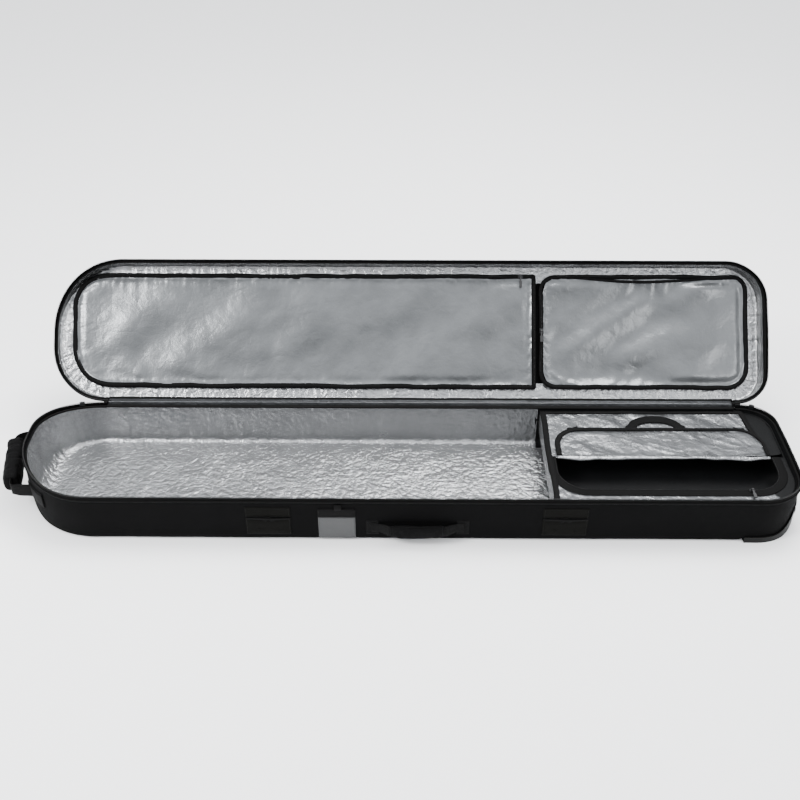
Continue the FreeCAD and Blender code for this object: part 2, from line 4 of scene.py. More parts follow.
import bmesh
import bpy
import numpy as np
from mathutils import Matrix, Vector


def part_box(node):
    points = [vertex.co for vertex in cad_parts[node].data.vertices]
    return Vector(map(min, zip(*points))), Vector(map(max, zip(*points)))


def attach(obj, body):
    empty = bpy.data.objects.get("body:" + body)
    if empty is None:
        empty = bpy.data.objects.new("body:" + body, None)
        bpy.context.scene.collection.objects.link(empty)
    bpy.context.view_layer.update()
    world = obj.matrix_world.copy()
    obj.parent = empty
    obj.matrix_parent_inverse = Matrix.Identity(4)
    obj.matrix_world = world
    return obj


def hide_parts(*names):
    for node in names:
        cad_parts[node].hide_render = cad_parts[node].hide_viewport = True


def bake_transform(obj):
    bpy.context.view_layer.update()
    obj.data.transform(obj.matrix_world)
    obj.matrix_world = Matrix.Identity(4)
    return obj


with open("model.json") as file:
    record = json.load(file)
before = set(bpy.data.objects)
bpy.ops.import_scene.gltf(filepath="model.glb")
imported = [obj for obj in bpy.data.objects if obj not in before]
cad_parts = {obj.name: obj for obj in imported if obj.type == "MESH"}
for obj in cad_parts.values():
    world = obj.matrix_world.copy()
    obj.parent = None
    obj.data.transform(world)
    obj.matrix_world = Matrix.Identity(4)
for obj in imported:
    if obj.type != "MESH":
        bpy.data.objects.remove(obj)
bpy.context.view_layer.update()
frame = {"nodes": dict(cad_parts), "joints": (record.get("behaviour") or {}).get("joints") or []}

MM = 0.001
joints = {j["name"]: j for j in frame["joints"]}


# ---- places taken from the frame
def low(node):
    return np.array(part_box(node)[0]) / MM


def high(node):
    return np.array(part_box(node)[1]) / MM


def pivot(joint):
    return np.array(joints[joint]["pos_m"]) / MM


HALF_L = high("base_tail_wall")[0]
HALF_W = high("base_rear_wall")[1]
HINGE_Y, RIM = pivot("lid_hinge")[1:]
OPEN = radians(-joints["lid_hinge"]["range_deg"][0])
TRAY_X = low("wheel_tray")[0]
BOOT_X = low("boot_wall")[0]
BOOT_TOP = high("boot_top_panel")[2]
FOLD_Y = pivot("flap_fold")[1]
WHEEL_X, WHEEL_Y, WHEEL_Z = pivot("wheel_rear_spin")
WELL_R, WELL_HALF = 41.0, 19.0                # wheel wells: radius and half width

# ---- the bag's own sizes
CORNER_RADII = (78.0, 105.0, 190.0, 150.0)   # rear tail, front tail, front nose, rear nose
NOSE_RISE, RISE_LENGTH = 28.0, 150.0         # the zip line climbs at the nose
RISE_RADIUS = (RISE_LENGTH ** 2 + NOSE_RISE ** 2) / (2 * NOSE_RISE)
NOSE_R, TAIL_R = 70.0, 45.0                  # side view, where the ends meet the underside
EDGE_R = 12.0                                # soft bottom edge
TRAY_RISE = 3.5                              # the floor's lift over the wheel tray
WALL = 7.0                                   # padded wall
SHELL_INSIDE = 5.5                           # the shell's hidden face
LINING = WALL + 0.6                          # the linings stand this far inside the plan
ZIP = 12.0                                   # one half of the zip
GAP = 2.0                                    # between the two halves at the coil
LID_TOP_Z = RIM + 62.0                       # lid closed
LID_LINING_Z = LID_TOP_Z - 7.0
POCKET_Z = RIM + 42.0
HINGE_X = (-792.0, 862.0)
POCKET_FRONT, POCKET_REAR = 158, 152         # reach of the lid pockets from the middle
POCKET_SHAPE = {"long": (-902, 343, (6, 6, 90, 110)), "short": (353, 912, (60, 40, 45, 45))}
POCKET_DIVIDER = (330, 365)
PANEL_INSET = 11.0
BOOT_FLOOR = low("boot_floor")[2]
MOUTH_X0, MOUTH_X1, MOUTH_Y0 = 370.0, 906.0, -130.0   # D opening: left, right and front
MOUTH_Y1 = FOLD_Y + 5
MOUTH_MIDDLE = (MOUTH_X0 + MOUTH_X1) / 2
MOUTH_R, MOUTH_POINTS = 70.0, 170
ZIP_BAND = 22.0                              # zip tape round the opening
PANEL_END = 872.0                            # right end of the panel behind the opening
FLAP_END = high("boot_flap_binding")[1]
FLAP_R = 67.0
FLAP_MARGIN = 3                              # between the flap and the ends of the opening
POUCH_W, POUCH_Z0, POUCH_SLIT, POUCH_Z1 = 108.0, 19.0, 71.0, 105.0
UP, FORWARD = (0, 0, 1), (0, -1, 0)
SHELL_TURNS, LINING_TURNS = np.radians((15, 30, 45, 60, 75, 90)), np.radians((25, 50, 70, 90))


def turned(points, way):
    """Turns lid points about the hinge: 1 opens the shut lid and -1 shuts it again."""
    points = np.asarray(points, float)
    y, z = points[..., 1] - HINGE_Y, points[..., 2] - RIM
    out = points.copy()
    out[..., 1] = HINGE_Y + y * cos(OPEN) + way * z * sin(OPEN)
    out[..., 2] = RIM - way * y * sin(OPEN) + z * cos(OPEN)
    return out


def opened(points):
    return turned(points, 1)


def lid_way(x, y, z):
    """A direction of the shut lid, as it points on the open one."""
    return opened([(x, y, z)])[0] - opened([(0, 0, 0)])[0]


def as_is(points):
    return np.asarray(points, float)


# ---- lines and points
def xyz(x, y, z):
    """Points from coordinates, each an array or one number for all."""
    return np.stack(np.broadcast_arrays(x, y, z), -1).astype(float)


def raised(xy, z):
    """Plan points given a height."""
    return xyz(xy[..., 0], xy[..., 1], z)


def unit(vectors):
    return vectors / np.linalg.norm(vectors, axis=-1, keepdims=True)


def lengths(line):
    """Distance along a line to each of its points."""
    return np.concatenate([[0], np.cumsum(np.linalg.norm(np.diff(line, axis=0), axis=1))])


def resample(line, along, at):
    """Points of a line at the distances in at; along holds its lengths."""
    return np.stack([np.interp(at, along, column) for column in line.T], -1)


def evenly(line, count):
    """The same line in a set count of even steps."""
    along = lengths(line)
    return resample(line, along, np.linspace(0, along[-1], count))


def sheared(points, forward, back):
    """Plan points sheared both ways, so that folds made in them run at a slant."""
    return points @ np.array([[1, forward, 0], [-back, 1, 0], [0, 0, 1]])


def level_across(path):
    """Level unit vectors square to a path."""
    tangent = np.gradient(path, axis=0)
    return unit(xyz(-tangent[:, 1], tangent[:, 0], 0))


def edge_loop(grid):
    """The points round the edge of a grid."""
    return np.concatenate([grid[0], grid[1:, -1], grid[-1, -2::-1], grid[-2:0:-1, 0]])


def edge_mask(shape, sides=True):
    """True at a grid's first and last rows, and at its sides when asked."""
    mask = np.zeros(shape, bool)
    mask[[0, -1]] = True
    if sides:
        mask[:, [0, -1]] = True
    return mask.ravel()


# ---- noise
def lattice(i, j, k, seed):
    """A fixed random value from -1 to 1 at each whole-number place."""
    h = (i * 374761393 + j * 668265263 + k * 1440662683 + seed * 974711) & 0xFFFFFFFF
    h = ((h ^ (h >> 13)) * 1274126177) & 0xFFFFFFFF
    return ((h ^ (h >> 16)) & 0xFFFF) / 32767.5 - 1


def smooth_noise(points, size, seed=0):
    """Smooth values from -1 to 1, with features about size apart. size may differ by axis."""
    p = np.asarray(points, float) / np.asarray(size, float)
    cell = np.floor(p).astype(np.int64)
    f = p - cell
    f = f * f * (3 - 2 * f)
    total = 0.0
    for corner in range(8):
        bits = [(corner >> axis) & 1 for axis in range(3)]
        weight = 1.0
        for axis in range(3):
            weight = weight * (f[..., axis] if bits[axis] else 1 - f[..., axis])
        total = total + weight * lattice(*(cell[..., a] + bits[a] for a in range(3)), seed)
    return total


def creases(points, size, seed=0, octaves=3):
    """Sharp creases as in crumpled coated cloth, from 0 to 1."""
    total, scale, weight = 0.0, np.asarray(size, float), 1.0
    for octave in range(octaves):
        total = total + weight * (1 - np.abs(smooth_noise(points, scale, seed + octave))) ** 3
        scale, weight = scale * 0.5, weight * 0.55
    return total / 1.85


def smoothstep(t):
    t = np.clip(t, 0.0, 1.0)
    return t * t * (3 - 2 * t)


# ---- outlines in plan
class Outline:
    """A rounded rectangle followed clockwise from above, from the end of its rear side.

    radii are at the rear right, front right, front left and rear left corners."""

    def __init__(self, x0, x1, y0, y1, radii):
        corners = [(x1, y1, 90, 1, 1), (x1, y0, 0, 1, -1), (x0, y0, -90, -1, -1), (x0, y1, -180, -1, 1)]
        points, normals = [], []
        for (x, y, start, sx, sy), radius in zip(corners, radii):
            turn = np.radians(np.linspace(start, start - 90, 25))
            normal = np.stack([np.cos(turn), np.sin(turn)], 1)
            points.append(np.array([x - sx * radius, y - sy * radius]) + radius * normal)
            normals.append(normal)
        points.append(points[0][:1])
        normals.append(normals[0][:1])
        self.points, self.normals = np.concatenate(points), np.concatenate(normals)
        self.along = lengths(self.points)
        self.total = self.along[-1]

    def samples(self, step):
        """Evenly spaced places all the way round."""
        return np.linspace(0, self.total, round(self.total / step), endpoint=False)

    def normal(self, s):
        return unit(resample(self.normals, self.along, np.mod(s, self.total)))

    def at(self, s, inset=0.0):
        """Points at the places s, moved inwards by inset."""
        p = resample(self.points, self.along, np.mod(s, self.total))
        return p - self.normal(s) * np.asarray(inset, float)[..., None]

    def rear(self, x):
        """The place on the straight rear side at that x."""
        return self.total - (self.points[0, 0] - x)


PLAN = Outline(-HALF_L, HALF_L, -HALF_W, HALF_W, CORNER_RADII)
BOOT_START = PLAN.rear(BOOT_X) - PLAN.total                      # the compartment's walls along PLAN
BOOT_END = PLAN.along[49] + HALF_L - CORNER_RADII[1] - BOOT_X


def rim_height(x):
    """Height of the zip line, which climbs at the nose."""
    reach = np.maximum(0.0, RISE_LENGTH - HALF_L - x)
    return RIM + RISE_RADIUS - np.sqrt(RISE_RADIUS ** 2 - reach ** 2)


def floor_height(x):
    """Height of the tub's underside, rounded up at both ends and lifted over the wheel tray."""
    nose = np.clip(NOSE_R - HALF_L - x, 0, NOSE_R)
    tail = np.clip(x - HALF_L + TAIL_R, 0, TAIL_R)
    up = NOSE_R + TAIL_R - np.sqrt(NOSE_R ** 2 - nose ** 2) - np.sqrt(TAIL_R ** 2 - tail ** 2)
    return up + TRAY_RISE * smoothstep((x - TRAY_X + 14) / 12)


def end_bow(xy, share):
    """The wheel end bows outwards as the wall climbs clear of the tray."""
    across = np.clip(1 - (xy[..., 1] / HALF_W) ** 2, 0, 1)
    return 6.0 * share ** 2 * across * smoothstep((xy[..., 0] - HALF_L + 60) / 50)


# ---- mesh making
def add(name, points, faces, material, uv=None, fix_normals=True):
    """Makes an object from points in millimetres. fix_normals turns the faces outwards."""
    mesh = bpy.data.meshes.new(name)
    mesh.from_pydata((np.asarray(points, float) * MM).tolist(), [], faces)
    mesh.materials.append(material)
    if uv is not None:
        layer = mesh.uv_layers.new(name="cloth")
        layer.data.foreach_set("uv", (np.asarray(uv, float) * MM).ravel().astype(np.float32))
    if fix_normals:
        bm = bmesh.new()
        bm.from_mesh(mesh)
        bmesh.ops.recalc_face_normals(bm, faces=bm.faces)
        bm.to_mesh(mesh)
        bm.free()
    mesh.shade_smooth()
    piece = bpy.data.objects.new(name, mesh)
    bpy.context.scene.collection.objects.link(piece)
    return piece


def spans(grid, axis, closed):
    """Distances from the first row or column to each next one, measured down the middle."""
    grid = np.moveaxis(grid, axis, 0)
    line = grid[:, grid.shape[1] // 2]
    if closed:
        line = np.concatenate([line, line[:1]])
    return lengths(line)


def loft(name, grid, material, around=False, along=False, caps=False):
    """A surface through rows of points. around closes every row, along joins the last row to the first."""
    grid = np.asarray(grid, float)
    rows, cols = grid.shape[:2]
    i, j = np.meshgrid(np.arange(rows if along else rows - 1), np.arange(cols if around else cols - 1),
                       indexing="ij")
    i, j = i.ravel(), j.ravel()
    i2, j2 = (i + 1) % rows, (j + 1) % cols
    faces = np.stack([i * cols + j, i2 * cols + j, i2 * cols + j2, i * cols + j2], -1).tolist()
    u, v = spans(grid, 0, along), spans(grid, 1, around)
    uv = np.stack([u[i], v[j], u[i + 1], v[j], u[i + 1], v[j + 1], u[i], v[j + 1]], -1).reshape(-1, 2)
    if caps:
        faces += [list(range(cols))[::-1], [(rows - 1) * cols + k for k in range(cols)]]
        uv = np.concatenate([uv, np.zeros((2 * cols, 2))])
    return add(name, grid.reshape(-1, 3), faces, material, uv)


def frames_along(path, across):
    """Tangent, across and normal unit vectors along a path."""
    path = np.asarray(path, float)
    tangent = unit(np.gradient(path, axis=0))
    across = np.broadcast_to(np.asarray(across, float), path.shape)
    across = unit(across - tangent * (across * tangent).sum(1, keepdims=True))
    return tangent, across, np.cross(tangent, across)


def flat_section(width, thickness):
    """A flat band's section with soft edges, as (across, normal) pairs. Many widths give a section each."""
    w, t = np.asarray(width, float) / 2, thickness / 2
    across = np.stack([-w, -w + t, -w / 3, w / 3, w - t, w, w - t, w / 3, -w / 3, -w + t], -1)
    normal = np.array([0, -t, -t, -t, -t, 0, t, t, t, t])
    return np.stack(np.broadcast_arrays(across, normal), -1)


def round_section(radius, sides=8):
    turn = np.linspace(0, 2 * pi, sides, endpoint=False)
    return radius * np.stack([np.cos(turn), np.sin(turn)], 1)


def sweep(name, path, across, section, material, closed=False):
    """Carries a section along a path. The section may be one for all, or one for each point."""
    _, a, n = frames_along(path, across)
    section = np.asarray(section, float)
    if section.ndim == 2:
        section = np.broadcast_to(section, (len(path),) + section.shape)
    grid = np.asarray(path)[:, None] + section[..., :1] * a[:, None] + section[..., 1:] * n[:, None]
    return loft(name, grid, material, around=True, along=closed, caps=not closed)


def curve_through(points, step=3.0, count=0):
    """A smooth line through a few points, evenly spaced by step or in a set count of points."""
    p = np.asarray(points, float)
    ends = np.concatenate([[2 * p[0] - p[1]], p, [2 * p[-1] - p[-2]]])
    t = np.linspace(0, 1, 16, endpoint=False)[:, None]
    parts = []
    for a, b, c, d in zip(ends, ends[1:], ends[2:], ends[3:]):
        parts.append(0.5 * (2 * b + (c - a) * t + (2 * a - 5 * b + 4 * c - d) * t ** 2
                            + (3 * b - a - 3 * c + d) * t ** 3))
    dense = np.concatenate(parts + [p[-1:]])
    return evenly(dense, count or max(3, round(lengths(dense)[-1] / step) + 1))


def scatter(name, centres, axes, size, material, pointed=False):
    """Many small solids in one mesh: blocks, or pointed ones for stitches. axes holds three vectors each."""
    if pointed:
        corner = np.array([(-1, 0, 0), (1, 0, 0), (0, -1, 0), (0, 1, 0), (0, 0, -1), (0, 0, 1)], float)
        shape = [(0, 2, 5), (2, 1, 5), (1, 3, 5), (3, 0, 5), (2, 0, 4), (1, 2, 4), (3, 1, 4), (0, 3, 4)]
    else:
        corner = np.array([(x, y, z) for x in (-1, 1) for y in (-1, 1) for z in (-1, 1)], float)
        corner[corner[:, 2] > 0, :2] *= 0.7
        shape = [(0, 1, 3, 2), (4, 6, 7, 5), (0, 4, 5, 1), (2, 3, 7, 6), (0, 2, 6, 4), (1, 5, 7, 3)]
    local = corner * np.asarray(size) / 2
    points = np.asarray(centres)[:, None] + np.einsum("kc,ncd->nkd", local, np.asarray(axes))
    offsets = np.arange(len(centres)) * len(corner)
    faces = [tuple(o + i for i in face) for o in offsets.tolist() for face in shape]
    return add(name, points.reshape(-1, 3), faces, material, fix_normals=False)


def spread_along(path, pitch):
    """Evenly spaced middles and tangents along a path."""
    path = np.asarray(path, float)
    along = lengths(path)
    at = np.arange(pitch / 2, along[-1], pitch)
    middle, ahead, behind = (resample(path, along, at + shift) for shift in (0, 0.5, -0.5))
    return middle, unit(ahead - behind)


def stitches(name, rows, material, pitch=4.0, width=0.9):
    """Thread stitches along each (path, facing direction)."""
    centres, axes = [], []
    for path, facing in rows:
        middle, tangent = spread_along(path, pitch)
        side = unit(np.cross(np.broadcast_to(np.asarray(facing, float), tangent.shape), tangent))
        centres.append(middle)
        axes.append(np.stack([tangent, side, np.cross(tangent, side)], 1))
    return scatter(name, np.concatenate(centres), np.concatenate(axes), (pitch * 0.72, width, 0.9), material,
                   pointed=True)


def box_stitch(x0, x1, z0, z1, y, cross=True):
    """Stitch rows of a box, with its diagonals, on a wall that faces the front."""
    a, b, c, d = (x0, y, z0), (x1, y, z0), (x1, y, z1), (x0, y, z1)
    pairs = [(a, b), (b, c), (c, d), (d, a)] + ([(a, c), (b, d)] if cross else [])
    return [(np.array(pair, float), FORWARD) for pair in pairs]


def finished(piece, body, slot, *replaced):
    """Says what the piece rides on and the CAD nodes that it stands for. slot, the material slot, is not
    used.
    """
    if body:
        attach(piece, body)
    if replaced:
        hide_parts(*replaced)


# ---- cloth simulation
def simulate(piece, pins, grow, frames, cap, bending, pressure=0.0, gravity=0.0):
    """Settles a piece as cloth, limits how far each point moves (mm) and keeps the result.
"""
    mesh = piece.data
    rest = np.zeros(len(mesh.vertices) * 3)
    mesh.vertices.foreach_get("co", rest)
    rest = rest.reshape(-1, 3)
    modifier = piece.modifiers.new("settle", "CLOTH")
    cloth = modifier.settings
    cloth.quality = 6
    cloth.mass = 0.15
    cloth.tension_stiffness = cloth.compression_stiffness = 12
    cloth.shear_stiffness = 4
    cloth.bending_stiffness = bending
    cloth.shrink_min = -grow
    cloth.effector_weights.gravity = gravity
    modifier.collision_settings.use_collision = False
    if pressure:
        cloth.use_pressure = True
        cloth.uniform_pressure_force = pressure
    group = piece.vertex_groups.new(name="held")
    group.add(np.flatnonzero(pins).tolist(), 1.0, "REPLACE")
    cloth.vertex_group_mass = "held"
    modifier.point_cache.frame_start, modifier.point_cache.frame_end = 1, frames
    scene = bpy.context.scene
    for number in range(1, frames + 1):
        scene.frame_set(number)
    settled = piece.evaluated_get(bpy.context.evaluated_depsgraph_get()).data
    moved = np.zeros(len(settled.vertices) * 3)
    settled.vertices.foreach_get("co", moved)
    travel = moved.reshape(-1, 3) - rest
    far = np.linalg.norm(travel, axis=1, keepdims=True)
    limit = cap * MM
    travel *= np.where(far > 1e-9, limit * np.tanh(far / limit) / np.maximum(far, 1e-9), 0)
    piece.modifiers.remove(modifier)
    piece.vertex_groups.clear()
    mesh.vertices.foreach_set("co", (rest + travel).ravel())
    mesh.update()
    scene.frame_set(1)


def subdivide(piece):
    """One smooth subdivision, applied."""
    modifier = piece.modifiers.new("smooth", "SUBSURF")
    modifier.levels = modifier.render_levels = 1
    apply_modifiers(piece)


def apply_modifiers(piece):
    shaped = bpy.data.meshes.new_from_object(piece.evaluated_get(bpy.context.evaluated_depsgraph_get()))
    piece.modifiers.clear()
    piece.data = shaped
    piece.data.shade_smooth()


def thicken(piece, thickness, offset=0.0):
    """Gives a one-sided sheet the thickness of its cloth."""
    modifier = piece.modifiers.new("cloth", "SOLIDIFY")
    modifier.thickness, modifier.offset = thickness * MM, offset
    apply_modifiers(piece)


# ---- materials
def linked(tree, kind, inputs=(), **settings):
    """A shader node with its settings, and values or links for its inputs."""
    node = tree.nodes.new(kind)
    for key, value in settings.items():
        setattr(node, key, value)
    for key, value in dict(inputs).items():
        if isinstance(value, bpy.types.NodeSocket):
            tree.links.new(value, node.inputs[key])
        else:
            node.inputs[key].default_value = value
    return node


def surface(name, colour, rough, metallic=0.0, sheen=0.0, weave=None, crumple=None, grain=None, spread=0.12,
            coat=0.0, specular=0.5):
    """A cloth, plastic or metal. weave is (pitch mm, depth mm), crumple is (size mm, depth mm) and grain
    is (size mm, depth mm). spread is how far the colour and roughness vary over the surface."""
    material = bpy.data.materials.new(name)
    material.use_nodes = True
    tree = material.node_tree
    shader = tree.nodes["Principled BSDF"]
    fixed = {"Metallic": metallic, "Sheen Weight": sheen, "Sheen Roughness": 0.5, "Coat Weight": coat,
             "Specular IOR Level": specular}
    for key, value in fixed.items():
        shader.inputs[key].default_value = value
    place = tree.nodes.new("ShaderNodeTexCoord").outputs["Object"]

    def noise(vector, scale, detail, **more):
        return linked(tree, "ShaderNodeTexNoise",
                      {"Vector": vector, "Scale": scale, "Detail": detail, **more})

    def bumped(height, depth, under):
        """Adds a bump, over the one under it."""
        values = {"Height": height, "Distance": depth * MM, "Strength": 1.0}
        if under:
            values["Normal"] = under.outputs[0]
        return linked(tree, "ShaderNodeBump", values)

    patches = noise(place, 14.0, 5.0).outputs["Fac"]
    mix = linked(tree, "ShaderNodeMix", {"Factor": patches}, data_type="RGBA")
    for number, share in ((6, 1 - spread), (7, 1 + spread)):
        mix.inputs[number].default_value = [min(1, c * share) for c in colour] + [1]
    tree.links.new(mix.outputs[2], shader.inputs["Base Color"])
    gloss = linked(tree, "ShaderNodeMapRange",
                   {"Value": patches, "To Min": rough - 0.07, "To Max": min(1, rough + 0.09)})
    tree.links.new(gloss.outputs[0], shader.inputs["Roughness"])

    bump = None
    if crumple:
        size, depth = crumple
        bend = noise(place, 1000 / size / 2.5, 3.0).outputs["Color"]
        warp = linked(tree, "ShaderNodeVectorMath", {0: bend, 1: (0.03,) * 3}, operation="MULTIPLY")
        moved = linked(tree, "ShaderNodeVectorMath", {0: place, 1: warp.outputs[0]},
                       operation="ADD").outputs[0]
        cells = linked(tree, "ShaderNodeTexVoronoi", {"Vector": moved, "Scale": 1000 / size},
                       feature="DISTANCE_TO_EDGE")
        folds = noise(moved, 1700 / size, 4.0, Roughness=0.62)
        height = linked(tree, "ShaderNodeMath", {0: cells.outputs["Distance"], 1: folds.outputs["Fac"]},
                        operation="ADD")
        bump = bumped(height.outputs[0], depth, bump)
    if grain:
        size, depth = grain
        bump = bumped(noise(place, 1000 / size, 4.0, Roughness=0.6).outputs["Fac"], depth, bump)
    if weave:
        pitch, depth = weave
        map_uv = tree.nodes.new("ShaderNodeUVMap")
        map_uv.uv_map = "cloth"
        waves = [linked(tree, "ShaderNodeTexWave", {"Vector": map_uv.outputs[0], "Scale": 314.0 / pitch,
                        "Distortion": 0.6, "Detail": 1.0}, wave_type="BANDS", bands_direction=direction)
                 for direction in ("X", "Y")]
        height = linked(tree, "ShaderNodeMath", {k: wave.outputs["Fac"] for k, wave in enumerate(waves)},
                        operation="MAXIMUM")
        bump = bumped(height.outputs[0], depth, bump)
    if bump:
        tree.links.new(bump.outputs[0], shader.inputs["Normal"])
    return material


SHELL = surface("shell_cloth", (0.0014, 0.0014, 0.0015), 0.80, sheen=0.005, weave=(1.1, 0.10),
                grain=(9.0, 0.25), specular=0.05)
SHELL_DARK = surface("shell_panel", (0.0021, 0.0021, 0.0017), 0.82, sheen=0.004, weave=(1.4, 0.12),
                     specular=0.07)
SILVER = surface("silver_cloth", (0.29, 0.295, 0.30), 0.23, metallic=0.86, crumple=(20.0, 2.6),
                 grain=(4.0, 0.07), spread=0.14)
SILVER_SOFT = surface("silver_panel", (0.122, 0.127, 0.131), 0.30, metallic=0.78, crumple=(52.0, 1.3),
                      grain=(4.0, 0.06), spread=0.26)
SILVER_FLAP = surface("silver_flap", (0.155, 0.159, 0.164), 0.26, metallic=0.84, crumple=(44.0, 3.4),
                      grain=(4.0, 0.06), spread=0.18)
# A darker copy of the silver lining: painted shade for the hinge strip, which lies in shadow.
SILVER_PAINTED_SHADE = surface("silver_painted_shade", (0.055, 0.057, 0.060), 0.36, metallic=0.75, crumple=(24.0, 2.4),
                       grain=(4.0, 0.07), spread=0.30)
BOOT_CLOTH = surface("boot_cloth", (0.0022, 0.0024, 0.0026), 0.60, weave=(1.2, 0.08), grain=(8.0, 0.3),
                     specular=0.11)
TAPE = surface("zip_tape_cloth", (0.0018, 0.0018, 0.0018), 0.78, weave=(0.9, 0.10), specular=0.08)
COIL = surface("zip_coil", (0.0040, 0.0040, 0.0040), 0.40, grain=(1.0, 0.03), spread=0.2, specular=0.30)
WEBBING = surface("webbing_cloth", (0.0016, 0.0016, 0.0016), 0.70, sheen=0.004, weave=(2.4, 0.35), spread=0.2,
                  specular=0.08)
GRIP = surface("grip_cloth", (0.0014, 0.0014, 0.0015), 0.78, sheen=0.004, weave=(1.3, 0.15), grain=(7.0, 0.3),
               specular=0.07)
BINDING = surface("binding_tape", (0.0019, 0.0019, 0.0019), 0.76, sheen=0.004, weave=(1.2, 0.16),
                  specular=0.09)
THREAD = surface("stitch_thread", (0.0055, 0.0055, 0.0057), 0.62, grain=(0.8, 0.05), spread=0.2, specular=0.2)
GREY_THREAD = surface("silver_thread", (0.030, 0.031, 0.032), 0.58, grain=(0.8, 0.05), spread=0.2,
                      specular=0.3)
PATCH = surface("grey_patch", (0.056, 0.057, 0.058), 0.62, sheen=0.02, weave=(2.4, 0.5), grain=(5.0, 0.15),
                spread=0.12, specular=0.25)
TRAY_PLASTIC = surface("tray_plastic", (0.0026, 0.0027, 0.0024), 0.50, grain=(0.9, 0.06), spread=0.2,
                       specular=0.15)
RUBBER = surface("wheel_rubber", (0.006, 0.006, 0.006), 0.68, grain=(1.5, 0.05), spread=0.2, specular=0.25)
HUB = surface("hub_plastic", (0.018, 0.018, 0.019), 0.42, grain=(1.2, 0.03))
STEEL = surface("steel", (0.30, 0.305, 0.31), 0.30, metallic=1.0, grain=(0.6, 0.02))
SLIDER = surface("slider_metal", (0.016, 0.016, 0.017), 0.34, metallic=0.7, grain=(1.0, 0.02), spread=0.25)
PULLER = surface("puller_plastic", (0.0060, 0.0060, 0.0063), 0.38, grain=(1.5, 0.03), coat=0.1, spread=0.2)


def refinish():
    """Gives the CAD parts that stay their real finish."""
    finishes = {"wheel_tray": TRAY_PLASTIC, "tray_rivets": STEEL, "wheel_axles": STEEL}
    for side in ("front", "rear"):
        finishes["wheel_tyre_" + side] = RUBBER
        finishes["wheel_hub_" + side] = HUB
        finishes["wheel_bearings_" + side] = STEEL
    for zip_name in ("main_left", "main_right", "pocket_long", "pocket_short", "boot"):
        finishes["slider_" + zip_name] = SLIDER
        finishes["puller_" + zip_name] = PULLER
    for node, material in finishes.items():
        slots = frame["nodes"][node].data.materials
        slots.clear()
        slots.append(material)


# ---- camera, light and floor
def make_stage():
    """Camera, pale floor, sky and lamps."""
    camera = bpy.data.objects.new("camera", bpy.data.cameras.new("camera"))
    bpy.context.scene.collection.objects.link(camera)
    camera.data.sensor_width = 36.0
    camera.data.lens = 47.56
    camera.data.clip_end = 60.0
    eye, target = Vector((-0.0048, -2.0488, 1.7932)), Vector((-0.02058, 0.27397, 0.080))
    camera.location = eye
    camera.rotation_euler = (target - eye).to_track_quat("-Z", "Y").to_euler()
    bpy.context.scene.camera = camera

    size = 9000.0
    corners = [(-size, -size, 0), (size, -size, 0), (size, size, 0), (-size, size, 0)]
    pale = surface("pale_floor", (0.93, 0.93, 0.93), 0.9, spread=0.01)
    floor = add("studio_floor", corners, [(0, 1, 2, 3)], pale, fix_normals=False)

    world = bpy.data.worlds.new("studio")
    bpy.context.scene.world = world
    world.use_nodes = True
    tree = world.node_tree
    place = tree.nodes.new("ShaderNodeTexCoord").outputs["Generated"]
    up = linked(tree, "ShaderNodeSeparateXYZ", {0: place})
    glow = linked(tree, "ShaderNodeMapRange", {"Value": up.outputs["Z"], "From Min": 0.05, "From Max": 0.95,
                  "To Min": 0.50, "To Max": 2.6}, interpolation_type="SMOOTHSTEP")
    tree.links.new(glow.outputs[0], tree.nodes["Background"].inputs["Strength"])
    tree.nodes["Background"].inputs["Color"].default_value = (0.95, 0.97, 1.0, 1)
    lamps = [("key_light", (-2.6, -1.2, 2.6), 150.0, 1.0), ("fill_light", (2.6, -2.2, 1.8), 40.0, 1.4),
             ("top_light", (0.6, 0.9, 3.0), 150.0, 1.6)]
    for name, place, power, width in lamps:
        data = bpy.data.lights.new(name, "AREA")
        data.energy, data.size = power, width
        lamp = bpy.data.objects.new(name, data)
        lamp.location = place
        lamp.rotation_euler = (Vector((0, 0.1, 0.15)) - Vector(place)).to_track_quat("-Z", "Y").to_euler()
        bpy.context.scene.collection.objects.link(lamp)


# ---- base shell
def wall_swell(points, share):
    """How far the padded outer wall stands out from its plan. share is 0 at the floor and 1 at the zip."""
    pad = 0.8 * np.sin(pi * np.clip(share, 0, 1)) - 1.4
    dents = 0.55 * smooth_noise(points, (130, 130, 45), 3) + 0.25 * smooth_noise(points, 38, 4)
    return pad + dents + end_bow(points[..., :2], np.clip(share, 0, 1))


def ring_points(s, inset, height):
    """Points round the plan at an inset and a height."""
    return raised(PLAN.at(s, inset), height)


def wall_rows(s, rows, padded, share):
    """Rings of a wall from its (inset, height) rows. The first few swell; share says how far up each z is."""
    grid = [ring_points(s, inset, height) for inset, height in rows]
    for number, (inset, height) in enumerate(rows[:padded]):
        swell = wall_swell(grid[number], share(grid[number][:, 2]))
        grid[number] = ring_points(s, inset - swell, height)
    return grid


